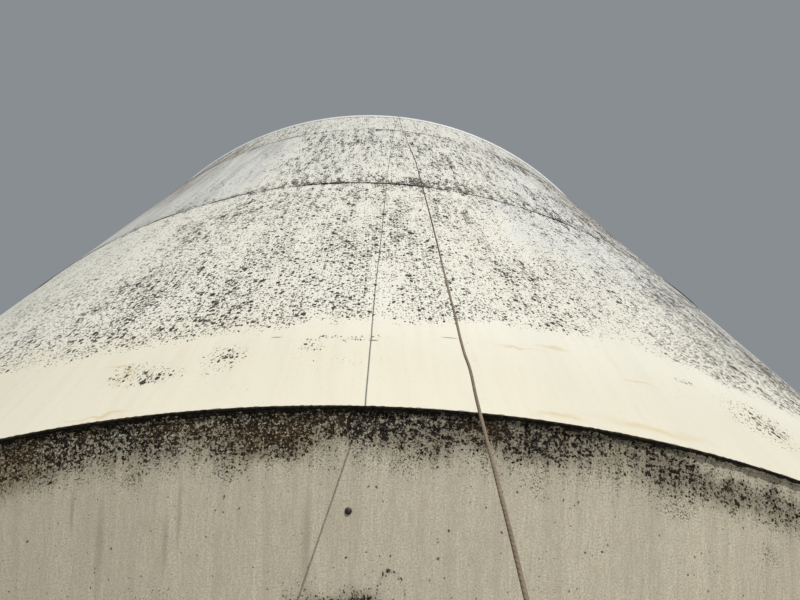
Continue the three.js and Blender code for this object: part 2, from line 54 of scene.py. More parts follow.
# Sizes read from the CAD pieces, in metres
RADIUS, RIM_Z, _ = extent("hopper_band")
_, LOWER_Z, _ = extent("wall_course_lower")
_, MIDDLE_Z, _ = extent("wall_course_middle")
_, UPPER_Z, EAVE_Z = extent("wall_course_upper")
CONE_TOP_RADIUS, CONE_LOW_Z, CONE_TOP_Z = extent("hopper_cone")
CONE_LOW_RADIUS = CONE_TOP_RADIUS - (CONE_TOP_Z - CONE_LOW_Z)
ROOF_EDGE, ROOF_LOW_Z, ROOF_TOP_Z = extent("roof_cone")
COLLAR_RADIUS, COLLAR_LOW_Z, COLLAR_TOP_Z = extent("fill_collar")
POST_OUT = (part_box("post_1")[0].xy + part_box("post_1")[1].xy).length / 2
FOOT_TOP = 0.020
LADDER_AZIMUTH = math.radians(135)
LADDER_OUT = RADIUS + 0.180
LADDER_HALF = 0.200
HINGE_OUT = 0.372
HINGE_Z = COLLAR_TOP_Z + 0.042
WALL_PLATE = 0.004
SEAM_GAP = 0.0003
HALF_ROOT = math.sqrt(0.5)
UP = Vector((0, 0, 1))

# The wall's plates: twelve to a course, their upright joints staggered from course to course
PLATES = 12
PLATE_PITCH = 2 * math.pi / PLATES
PLATE_ARC = PLATE_PITCH * RADIUS
JOINT_ARC = {"lower": -0.76, "middle": -0.55, "upper": -0.20}


def placed(name, data):
    """Adds an object to the scene."""
    item = bpy.data.objects.new(name, data)
    bpy.context.scene.collection.objects.link(item)
    return item


# Camera and cords

EYE = (0.0, -2.645, 1.604)
HEADING = math.radians(5.92)
ELEVATION = math.radians(70.26)
ROLL = math.radians(-3.65)
LENS = 32.39


def make_camera():
    data = bpy.data.cameras.new("camera")
    data.sensor_width = 36.0
    data.lens = LENS
    data.clip_start = 0.02
    camera = placed("camera", data)
    heading = Matrix.Rotation(-HEADING, 4, "Z")
    tilt = Matrix.Rotation(ELEVATION + math.pi / 2, 4, "X")
    camera.matrix_world = Matrix.Translation(EYE) @ heading @ tilt @ Matrix.Rotation(ROLL, 4, "Z")
    bpy.context.scene.camera = camera


CORD_DIAMETER = 0.0024
CORD_AZIMUTH = math.atan2(0.127, 2.145)
CORD_START = (0.6064, 8.3967)
BEND_CENTRE = (2.136, 6.9660)
BEND_RADIUS = 0.0135
BEND_TURNS = np.radians(np.linspace(47.28, 5, 7))
DROP = [
    (0.1255, -2.1505, 6.900),
    (0.1215, -2.165, 6.700),
    (0.1155, -2.191, 6.350),
    (0.109, -2.218, 5.960),
    (0.105, -2.240, 5.580),
    (0.100, -2.272, 5.000),
    (0.097, -2.302, 4.475),
    (0.096, -2.330, 3.945),
    (0.0945, -2.3535, 3.500),
    (0.091, -2.365, 3.200),
    (0.089, -2.3715, 2.930),
    (0.087, -2.3765, 2.700),
    (0.084, -2.383, 2.505),
    (0.0805, -2.3915, 2.370),
    (0.078, -2.399, 2.255),
    (0.0755, -2.4055, 2.150),
    (0.0760, -2.4075, 2.115),
    (0.074, -2.411, 2.060),
    (0.0715, -2.418, 1.965),
    (0.070, -2.422, 1.900),
    (0.068, -2.4265, 1.835),
    (0.0655, -2.4325, 1.750),
]


def in_cord_plane(out, z, aside=0.0):
    """A point of the upright plane that the cord runs in, or one beside it."""
    sine, cosine = math.sin(CORD_AZIMUTH), math.cos(CORD_AZIMUTH)
    return Vector((out * sine + aside * cosine, -out * cosine + aside * sine, z))


def cord_route():
    out, z = BEND_CENTRE
    bend = [in_cord_plane(out + BEND_RADIUS * math.cos(a), z + BEND_RADIUS * math.sin(a))
            for a in BEND_TURNS]
    return [in_cord_plane(*CORD_START), *bend, *map(Vector, DROP)]


def curve_piece(name, points, radius, closed=False):
    curve = bpy.data.curves.new(name, "CURVE")
    curve.dimensions = "3D"
    curve.bevel_depth = radius
    curve.bevel_resolution = 4
    curve.resolution_u = 10
    curve.use_fill_caps = not closed
    spline = curve.splines.new("BEZIER")
    spline.bezier_points.add(len(points) - 1)
    spline.use_cyclic_u = closed
    for place, point in zip(spline.bezier_points, points):
        place.co = point
        place.handle_left_type = place.handle_right_type = "AUTO"
    return placed(name, curve)


def straighten_run(piece):
    """Turns the handles of the straight run over the roof along it."""
    first, second = piece.data.splines[0].bezier_points[:2]
    for point in (first, second):
        point.handle_left_type = point.handle_right_type = "FREE"
    step = (second.co - first.co) / 3
    first.handle_left = first.co - step
    first.handle_right = first.co + step
    second.handle_left = second.co - step
    second.handle_right = second.co + step.normalized() * 0.0006


KNOT_SIZE = 0.0014
KNOT_DROP = 0.0050
KNOT_POINTS = 36


def knot_points(centre, size):
    """An overhand knot: a trefoil that stands round the cord's end."""
    points = []
    for k in range(KNOT_POINTS):
        t = 2 * math.pi * k / KNOT_POINTS
        x = math.sin(t) + 2 * math.sin(2 * t)
        y = math.cos(t) - 2 * math.cos(2 * t)
        z = -math.sin(3 * t)
        points.append(centre + Vector((x * size * 0.8, z * size, y * size)))
    return points


HITCH_HALF = 0.0078


def hitch_points():
    """A loop of the cord round the lever's lower edge and through its eye."""
    out, z = CORD_START
    side = [(0.001, 0.006, HITCH_HALF), (0.004, 0.020, HITCH_HALF), (0.005, 0.0255, HITCH_HALF * 0.7)]
    other = [(back, rise, -aside) for back, rise, aside in side[::-1]]
    loop = [(-0.0004, -0.0009, 0), *side, (0.005, 0.0268, 0), *other]
    return [in_cord_plane(out - back, z + rise, aside) for back, rise, aside in loop]


def make_cord(finish):
    cord = curve_piece("pull_cord", cord_route(), CORD_DIAMETER / 2)
    straighten_run(cord)
    knot_place = Vector(DROP[-1]) - UP * KNOT_DROP
    knot = curve_piece("cord_end_knot", knot_points(knot_place, KNOT_SIZE), CORD_DIAMETER / 2, True)
    hitch = curve_piece("cord_hitch", hitch_points(), CORD_DIAMETER / 2, True)
    for piece in (cord, knot, hitch):
        piece.data.materials.append(finish.material)
        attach(piece, "root")
    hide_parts("pull_cord_run", "pull_cord_bend", "pull_cord_drop")
    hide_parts("cord_knot")
    in_cord_plane(*CORD_START)


# Material graphs

class Value:
    """A number, vector or colour in a material's graph; sums and comparisons on it add nodes."""

    def __init__(self, graph, socket):
        self.graph = graph
        self.socket = socket

    def __add__(self, other):
        return self.graph.math("ADD", self, other)

    def __sub__(self, other):
        return self.graph.math("SUBTRACT", self, other)

    def __rsub__(self, other):
        return self.graph.math("SUBTRACT", other, self)

    def __mul__(self, other):
        return self.graph.math("MULTIPLY", self, other)

    def __gt__(self, other):
        return self.graph.math("GREATER_THAN", self, other)

    def __lt__(self, other):
        return self.graph.math("LESS_THAN", self, other)

    def __abs__(self):
        return self.graph.math("ABSOLUTE", self)


class Graph:
    """A material's node tree, built from short calls, and a slot name that it keeps but nothing here uses.
    """

    def __init__(self, name, slot=None):
        self.slot = slot or name
        self.material = bpy.data.materials.new(name)
        self.material.use_nodes = True
        self.tree = self.material.node_tree
        self.tree.nodes.clear()
        self.shader = self.add("ShaderNodeBsdfPrincipled")
        output = self.add("ShaderNodeOutputMaterial")
        self.tree.links.new(self.shader.outputs[0], output.inputs["Surface"])
        self.place = self.value("ShaderNodeTexCoord", output="Object")
        split = self.add("ShaderNodeSeparateXYZ", {0: self.place})
        self.x, self.y, self.z = (Value(self, socket) for socket in split.outputs)

    def feed(self, socket, value):
        """Links a value to an input, or sets the input to a plain number, vector or colour."""
        if isinstance(value, Value):
            self.tree.links.new(value.socket, socket)
        elif socket.type == "RGBA":
            socket.default_value = (*value, 1.0)
        else:
            socket.default_value = value

    def add(self, kind, inputs=None, **settings):
        node = self.tree.nodes.new(kind)
        for key, setting in settings.items():
            setattr(node, key, setting)
        for key, value in (inputs or {}).items():
            self.feed(node.inputs[key], value)
        return node

    def value(self, kind, inputs=None, output=0, **settings):
        """Adds a node and gives one of its outputs."""
        return Value(self, self.add(kind, inputs, **settings).outputs[output])

    def math(self, operation, first, second=0.0, third=0.0, clamp=False):
        inputs = {0: first, 1: second, 2: third}
        return self.value("ShaderNodeMath", inputs, operation=operation, use_clamp=clamp)

    def scaled(self, value, factor, offset, clamp=False):
        """A value times a factor, plus an offset."""
        return self.math("MULTIPLY_ADD", value, factor, offset, clamp)

    def most(self, *values):
        result = values[0]
        for value in values[1:]:
            result = self.math("MAXIMUM", result, value)
        return result

    def ramp(self, value, low, high, out_low=0.0, out_high=1.0):
        """A soft step from out_low to out_high while the value goes from low to high."""
        inputs = {0: value, 1: low, 2: high, 3: out_low, 4: out_high}
        return self.value("ShaderNodeMapRange", inputs, interpolation_type="SMOOTHSTEP")

    def mix(self, factor, first, second):
        """One colour laid over another."""
        return self.value("ShaderNodeMix", {0: factor, 6: first, 7: second}, 2, data_type="RGBA")

    def mix_value(self, factor, first, second):
        return self.value("ShaderNodeMix", {0: factor, 2: first, 3: second}, data_type="FLOAT")

    def joined(self, x, y, z=0.0):
        return self.value("ShaderNodeCombineXYZ", {0: x, 1: y, 2: z})

    def vector(self, operation, first, second=(0, 0, 0), output=0):
        return self.value("ShaderNodeVectorMath", {0: first, 1: second}, output, operation=operation)

    def arc(self):
        """Metres along the wall from the -Y side, growing towards +X."""
        return self.math("ARCTAN2", self.x, self.y * -1.0) * RADIUS

    def out(self):
        """Distance from the bin's axis."""
        return self.vector("LENGTH", self.joined(self.x, self.y), output="Value")

    def facing_down(self, low, high):
        normal = self.value("ShaderNodeNewGeometry", output="True Normal")
        upward = self.value("ShaderNodeSeparateXYZ", {0: normal}, 2)
        return self.ramp(upward, -high, -low, 1.0, 0.0)

    def noise(self, vector, scale, detail=2.0, roughness=0.55, output="Fac"):
        """Cloudy noise, which a scale of three factors stretches."""
        if isinstance(scale, tuple):
            vector = self.vector("MULTIPLY", vector, scale)
            scale = 1.0
        inputs = {"Vector": vector, "Scale": scale, "Detail": detail, "Roughness": roughness}
        return self.value("ShaderNodeTexNoise", inputs, output)

    def jittered(self, vector, scale, reach):
        """The same place, shifted by a small cloudy step."""
        cloud = self.noise(vector, scale, 2, output="Color")
        step = self.vector("SUBTRACT", cloud, (0.5, 0.5, 0.5))
        step = self.vector("MULTIPLY", step, (reach, reach, 0))
        return self.vector("ADD", step, vector)

    def cells(self, vector, scale, dimensions="2D"):
        """Distance to a cell's centre, and the cell's own random number."""
        inputs = {"Vector": vector, "Scale": scale}
        node = self.add("ShaderNodeTexVoronoi", inputs, voronoi_dimensions=dimensions)
        own = self.value("ShaderNodeSeparateColor", {0: Value(self, node.outputs["Color"])})
        return Value(self, node.outputs["Distance"]), own

    def spots(self, vector, scale, share, spread, sharp):
        """Round specks, one to a cell at most: share is how much of a cell the largest may fill."""
        distance, own = self.cells(vector, scale)
        reach = self.math("POWER", own, spread) * share
        return self.scaled(reach - distance, sharp, 0.25, clamp=True)

    def marks(self, vector, scale, least, sharp, roughness=0.72):
        """Ragged marks where a fine noise rises above least."""
        rough = self.noise(vector, scale, 4, roughness)
        return self.math("MULTIPLY", rough - least, sharp, clamp=True)

    def distance(self, vector, oval):
        """Distance from an oval's centre: 1 on the oval."""
        x, y, wide, high = oval
        inputs = {"Vector": vector, "Location": (x, y, 0.0), "Scale": (wide, high, 1.0)}
        inside = self.value("ShaderNodeMapping", inputs, vector_type="TEXTURE")
        return self.vector("LENGTH", inside, output="Value")

    def patch(self, vector, oval, hard=0.0):
        """1 inside a soft oval and 0 outside it."""
        return self.ramp(self.distance(vector, oval), hard, 1.0, 1.0, 0.0)

    def raised(self, value, vector, patches, amount):
        """A value with an amount added inside soft ovals."""
        for oval in patches:
            value = self.scaled(self.patch(vector, oval), amount, value)
        return value

    def thinned(self, value, vector, patches, share, hard=0.0):
        """A value that loses a share of itself inside soft ovals."""
        for oval in patches:
            value = value * self.scaled(self.patch(vector, oval, hard), -share, 1.0)
        return value

    def painted(self, paint, vector, patches, hard, strength, colour):
        """A paint with a colour laid over it inside soft ovals."""
        for oval in patches:
            paint = self.mix(self.patch(vector, oval, hard) * strength, paint, colour)
        return paint

    def finish(self, colour, roughness, bump, depth, metallic=0.0, specular=0.3):
        inputs = {"Base Color": colour, "Roughness": roughness, "Metallic": metallic,
                  "Specular IOR Level": specular}
        for name, value in inputs.items():
            self.feed(self.shader.inputs[name], value)
        normal = self.value("ShaderNodeBump", {"Strength": 1.0, "Distance": depth, "Height": bump})
        self.feed(self.shader.inputs["Normal"], normal)
        return self


# The wall's paint

CREAM = (0.80, 0.765, 0.635)
WHITE = (0.85, 0.845, 0.765)
DULL_WHITE = (0.69, 0.705, 0.71)
LICHEN_DARK = (0.011, 0.011, 0.010)
LICHEN_BROWN = (0.040, 0.033, 0.024)
OCHRE = (0.62, 0.47, 0.22)
STAIN_AND_REFLECTION = (0.25, 0.21, 0.165)
RUST_LINE = (0.16, 0.075, 0.05)
LIP_HIGHLIGHT = (0.82, 0.84, 0.85)
SUNLIT_SIDE_SHADE_CREAM = (0.60, 0.58, 0.50)
DUST = (0.46, 0.44, 0.37)
LICHEN_FILM = (0.42, 0.405, 0.35)
RUN_BROWN = (0.60, 0.50, 0.35)
WASH_GREY = (0.34, 0.34, 0.32)
GRAIN_GREY = (0.45, 0.43, 0.36)
UNDERSIDE_SHADE_AND_GRIME = (0.022, 0.020, 0.016)
BAND_CLEAN_Z = 2.760

# Soft ovals on the wall: their centre's arc and height, then their reach along both
SPECK_PATCHES = [
    (-0.415, 2.740, 0.075, 0.060),
    (-0.360, 2.700, 0.070, 0.045),
    (-0.260, 2.745, 0.060, 0.100),
    (-0.040, 2.820, 0.120, 0.020),
    (-0.110, 2.785, 0.030, 0.050),
    (0.740, 2.780, 0.120, 0.150),
    (0.618, 2.864, 0.050, 0.026),
    (-0.800, 2.830, 0.110, 0.090),
]
CLEAN_PATCHES = [
    (0.540, 3.020, 0.110, 0.170),
    (0.450, 3.850, 0.170, 0.420),
    (-0.110, 2.920, 0.040, 0.080),
    (0.310, 3.010, 0.050, 0.050),
    (0.820, 5.450, 0.200, 0.520),
    (-0.780, 5.750, 0.220, 0.420),
]
DARK_PATCHES = [
    (0.780, 5.980, 0.210, 0.170),
    (-0.460, 4.850, 0.035, 0.150),
    (-0.310, 5.360, 0.035, 0.120),
    (-0.280, 4.150, 0.130, 0.170),
    (-0.670, 3.300, 0.050, 0.440),
    (-0.600, 3.250, 0.200, 0.350),
    (-0.880, 3.450, 0.240, 0.500),
    (1.120, 3.700, 0.330, 0.950),
    (-0.740, 4.720, 0.170, 0.420),
    (-0.610, 5.600, 0.100, 0.600),
]
OCHRE_PATCHES = [
    (-0.450, 2.768, 0.050, 0.007),
    (-0.420, 2.735, 0.020, 0.060),
    (0.270, 2.838, 0.070, 0.008),
    (0.345, 2.862, 0.045, 0.016),
    (0.500, 2.785, 0.060, 0.006),
    (0.300, 2.578, 0.060, 0.012),
    (0.450, 2.602, 0.130, 0.020),
    (-0.420, 2.580, 0.070, 0.006),
]
STAIN_AND_REFLECTION_PATCHES = [
    (-1.280, 5.500, 0.520, 1.300),
    (-1.080, 6.550, 0.620, 0.560),
    (1.280, 5.400, 0.540, 1.700),
    (0.860, 6.300, 0.420, 0.240),
]
RUST_DASHES = [
    (-0.178, 2.828, 0.014, 0.0030),
    (0.142, 2.846, 0.022, 0.0028),
    (0.000, 2.812, 0.012, 0.0040),
]


def plate_tone(g, arc):
    """How well lichen grows on each plate: a quadratic phase picks the tones, and they blend softly."""
    above_middle = g.z > MIDDLE_Z
    above_upper = g.z > UPPER_Z
    joint = g.scaled(above_middle, JOINT_ARC["middle"] - JOINT_ARC["lower"], JOINT_ARC["lower"])
    joint = g.scaled(above_upper, JOINT_ARC["upper"] - JOINT_ARC["middle"], joint)
    ragged = g.scaled(g.noise(g.place, (9, 9, 1.6), 4, 0.6), 0.26, -0.04)
    place = g.math("DIVIDE", arc - joint, PLATE_ARC) + ragged
    plate = g.math("FLOOR", place)
    tones = []
    for step in (-1, 0):
        wrapped = g.math("WRAP", plate + step, 6.5, -5.5)
        phase = wrapped * g.scaled(wrapped, -1.12, 1.62)
        tones.append(g.scaled(g.math("SINE", phase + 1.3), 0.36, 0.66))
    tone = g.mix_value(g.ramp(place - plate, 0.0, 0.30), *tones)
    tone = g.most(tone, g.ramp(g.z, 2.9, 3.9, 0.85, 0.0))
    tone = g.most(tone, g.scaled(above_middle, -0.62, 0.62))
    return g.mix_value(above_upper, tone, 0.72)


def wall_growth(g, arc, soft, tone):
    """How thickly lichen grows: by plate, by height, in broad fields, in streaks and along the laps."""
    front = g.ramp(arc, -0.30, 0.20) * 0.075
    ragged = g.noise(g.place, (5.5, 5.5, 0), 5, 0.65) * 0.20
    starts = front + ragged + BAND_CLEAN_Z
    bump = g.ramp(abs(arc - 0.52), 0.10, 0.26, 0.050, 0.0)
    growth = g.ramp(g.z - (starts + bump), -0.040, 0.045)
    field = g.ramp(g.noise(g.place, 2.4, 3, 0.6), 0.30, 0.70, 0.84, 1.12)
    streak = g.ramp(g.noise(g.place, (17, 17, 1.5), 4, 0.6), 0.30, 0.70, 0.76, 1.20)
    growth = growth * tone * (field * streak)
    growth = growth * g.ramp(g.z, 4.0, 5.2, 1.0, 1.10) * g.ramp(arc, -0.9, -0.3, 1.16, 1.0)
    lean = g.ramp(arc, 0.15, 0.55, 1.0, 0.35)
    growth = g.thinned(growth, soft, CLEAN_PATCHES, 0.50)
    growth = g.raised(growth, soft, DARK_PATCHES, 0.30)
    growth = g.raised(growth, soft, SPECK_PATCHES, 1.05)
    for lap in (MIDDLE_Z, UPPER_Z):
        near = abs(g.z - (lap + 0.02))
        growth = g.scaled(g.ramp(near, 0.01, 0.09, 0.35, 0.0), lean, growth)
    above = g.z - g.scaled(ragged, 1.5, MIDDLE_Z - 0.15)
    growth = growth + g.ramp(above, 0.0, 0.34, 0.42, 0.0) * (g.z > MIDDLE_Z)
    stray = g.ramp(g.noise(g.place, 9.0, 3), 0.52, 0.75) * 0.20
    trails = g.ramp(g.noise(g.place, (13, 13, 1.2), 5, 0.7), 0.48, 0.66, 0.0, 0.75)
    trails = trails * g.ramp(g.z, 3.2, 4.6)
    return g.most(growth, stray, trails)


def wall_paint():
    g = Graph("wall_paint")
    arc = g.arc()
    flat = g.joined(arc, g.z)
    soft = g.jittered(flat, 16, 0.07)
    tone = plate_tone(g, arc)
    growth = wall_growth(g, arc, soft, tone)

    # Specks in three sizes, each taller than wide, and ragged marks between them
    drawn = g.math("SMOOTH_MIN", g.z, 4.5, 1.2) * 0.38
    drawn = g.scaled(g.z, 0.22, drawn)
    dots = g.jittered(g.joined(arc, drawn), 170, 0.008)
    clump = g.noise(g.joined(g.x, g.y, drawn), (50, 50, 27), 4, 0.65)
    clump = g.ramp(clump, 0.34, 0.66, -0.5, 0.5)
    clump = g.scaled(clump, g.ramp(g.z, 3.3, 4.7, 0.50, 1.15), 1.0)
    thick = growth * clump
    bold = thick * g.ramp(arc, 0.55, 1.00, 1.0, 1.24)
    large = g.spots(dots, 50, bold * 0.32, 6.0, 20.0)
    middling = g.spots(dots, 98, bold * 0.43, 2.8, 20.0)
    small = g.spots(dots, 185, thick * 0.48, 1.8, 20.0)
    ragged = g.marks(dots, 170, g.scaled(bold, -0.135, 0.724), 50.0, 0.60)
    specks = g.most(large, middling, small * 0.9, ragged * 0.88)

    # Paint: warm and clean near the rim, white above, with a film where lichen grows and faint runs
    smooth = g.ramp(tone, 0.30, 0.65, 1.0, 0.0) * g.ramp(g.z, 2.8, 3.3)
    paint = g.mix(g.ramp(g.scaled(arc, 0.10, g.z), 2.72, 3.05), CREAM, WHITE)
    paint = g.mix(smooth * 0.75, paint, DULL_WHITE)
    # Painted shade: the right side, which faces the sun, is dulled towards a darker cream to even out its
    # stronger light
    sunlit_side_shade = g.ramp(arc, 0.0, 0.5, 0.0, 0.32) * g.ramp(g.z, 3.0, 4.2, 1.0, 0.4)
    paint = g.mix(sunlit_side_shade, paint, SUNLIT_SIDE_SHADE_CREAM)
    cool = g.ramp(arc + g.noise(g.place, 3.0, 3), 0.85, 1.20, 0.0, 0.7) * g.ramp(g.z, 3.0, 4.0)
    cool = g.most(cool, g.ramp(g.z, 4.0, 5.2, 0.0, 0.35))
    paint = g.mix(cool, paint, DULL_WHITE)
    film = g.ramp(g.noise(g.place, (11, 11, 0.7), 5, 0.65), 0.40, 0.72, 0.0, 0.08)
    film = film + g.ramp(g.z, 4.8, 6.4, 0.0, 0.06)
    paint = g.mix(film, paint, DUST)
    paint = g.mix(g.ramp(growth, 0.3, 1.3, 0.0, 0.05), paint, LICHEN_FILM)
    runs = g.ramp(g.noise(g.place, (70, 70, 4), 4, 0.6), 0.42, 0.75, 0.0, 0.12)
    paint = g.mix(runs, paint, RUN_BROWN)
    wash = g.ramp(g.noise(g.place, (18, 18, 1.0), 5, 0.7), 0.38, 0.68, 0.0, 0.62)
    wash = wash * g.scaled(smooth, 0.80, g.ramp(g.z, 4.2, 6.6, 0.0, 0.16))
    paint = g.mix(wash, paint, WASH_GREY)
    trails = g.ramp(g.noise(g.place, (24, 24, 1.8), 5, 0.7), 0.36, 0.62, 0.18, 0.92)
    lengths = g.noise(g.place, (7, 7, 0.3), 4, 0.65)
    runny = g.joined(arc, g.scaled(lengths, 3.2, g.z - 1.6))
    # Brown runs towards both sides of the wall: runny stain, and a painted reflection of the brown ground
    # where the wall turns away
    paint = g.painted(paint, runny, STAIN_AND_REFLECTION_PATCHES, 0.1, trails, STAIN_AND_REFLECTION)
    paint = g.painted(paint, soft, OCHRE_PATCHES, 0.0, 0.50, OCHRE)
    paint = g.painted(paint, flat, RUST_DASHES, 0.4, 0.8, RUST_LINE)

    shade = g.mix(g.noise(g.place, 40, 2), LICHEN_DARK, LICHEN_BROWN)
    colour = g.mix(specks * 0.985, paint, shade)
    grain = g.noise(g.place, 190, 3)
    colour = g.mix(g.ramp(grain, 0.35, 0.7, 0.0, 0.06), colour, GRAIN_GREY)

    # Undersides of the laps and the rim are painted near black, a painted shade with some grime; the roof's
    # rolled lip gets a painted highlight of pale bluish white
    under = g.facing_down(0.80, 0.95) * g.ramp(g.z, ROOF_LOW_Z - 0.1, ROOF_LOW_Z - 0.05, 1.0, 0.0)
    colour = g.mix(under * 0.9, colour, UNDERSIDE_SHADE_AND_GRIME)
    # Painted highlight: a pale bluish white band along the roof's rolled lip
    lip = (g.out() > RADIUS + 0.0012) * (g.z > ROOF_LOW_Z - 0.01) * (g.z < ROOF_LOW_Z + 0.024)
    colour = g.mix(lip * 0.9, colour, LIP_HIGHLIGHT)
    height = g.scaled(specks, 0.5, grain * 0.16)
    return g.finish(colour, g.scaled(specks, 0.25, 0.58), height, 0.0009)


# The cone's paint, with the mould that grows under the rim

CONE_PAINT = (0.81, 0.752, 0.60)
MOULD_BLACK = (0.007, 0.005, 0.003)
MOULD_BROWN = (0.024, 0.015, 0.006)
MOULD_AMBER = (0.16, 0.092, 0.034)
MOULD_FILM = (0.205, 0.183, 0.135)
AMBER_PAINT = (0.155, 0.110, 0.055)
GREY_STREAK = (0.40, 0.365, 0.28)
DARK_STREAK = (0.30, 0.27, 0.20)
WORN_PAINT = (0.42, 0.385, 0.30)
FADED_PAINT = (0.50, 0.465, 0.38)
LEFT_PAINT = (0.46, 0.42, 0.33)
PALE_FLAKE = (0.66, 0.63, 0.54)
WARM_FLAKE = (0.62, 0.52, 0.36)
RIM_SHADOW_BLACK = (0.016, 0.014, 0.011)

# Soft ovals under the rim: their centre's arc and distance down the cone, then their reach along both
MOULD_PATCHES = [
    (-0.60, 0.060, 0.190, 0.085),
    (-0.44, 0.055, 0.110, 0.070),
    (-0.32, 0.050, 0.090, 0.070),
    (-0.16, 0.050, 0.130, 0.075),
    (-0.13, 0.062, 0.080, 0.050),
    (-0.03, 0.030, 0.080, 0.045),
    (0.17, 0.035, 0.060, 0.045),
    (-0.21, 0.090, 0.050, 0.060),
    (-0.35, 0.100, 0.020, 0.045),
    (0.03, 0.050, 0.060, 0.050),
    (0.10, 0.060, 0.050, 0.060),
    (0.27, 0.045, 0.120, 0.050),
    (0.47, 0.055, 0.070, 0.055),
    (0.64, 0.072, 0.120, 0.050),
    (0.55, 0.070, 0.060, 0.038),
]
HALO_PATCHES = [
    (-0.360, 0.095, 0.025, 0.040),
    (-0.220, 0.100, 0.060, 0.045),
    (0.050, 0.090, 0.050, 0.045),
    (0.260, 0.100, 0.025, 0.040),
    (0.480, 0.095, 0.090, 0.035),
    (0.640, 0.130, 0.060, 0.045),
]
BARE_PATCHES = [
    (0.570, 0.018, 0.100, 0.028),
    (0.720, 0.020, 0.110, 0.028),
]
LOW_PATCHES = [
    (-0.080, 0.280, 0.070, 0.060),
    (0.000, 0.284, 0.110, 0.046),
]
ARCH = (0.037, 0.272, 0.022, 0.038)
AMBER_PATCHES = [
    (-0.155, 0.052, 0.095, 0.040),
    (-0.55, 0.050, 0.080, 0.060),
    (-0.66, 0.080, 0.080, 0.060),
]
BLOTS = [
    (0.0330, 0.2330, 0.0050, 0.0036),
    (0.0255, 0.2370, 0.0018, 0.0044),
    (-0.0300, 0.2170, 0.0020, 0.0020),
    (0.0200, 0.2140, 0.0015, 0.0016),
    (0.0360, 0.2140, 0.0017, 0.0017),
    (0.122, 0.176, 0.0024, 0.0022),
    (0.360, 0.180, 0.0030, 0.0024),
]
STREAKS = [
    (-0.090, 0.200, 0.010, 0.110),
    (-0.300, 0.190, 0.007, 0.060),
    (-0.281, 0.150, 0.005, 0.080),
    (-0.445, 0.130, 0.006, 0.050),
    (-0.400, 0.180, 0.012, 0.090),
]


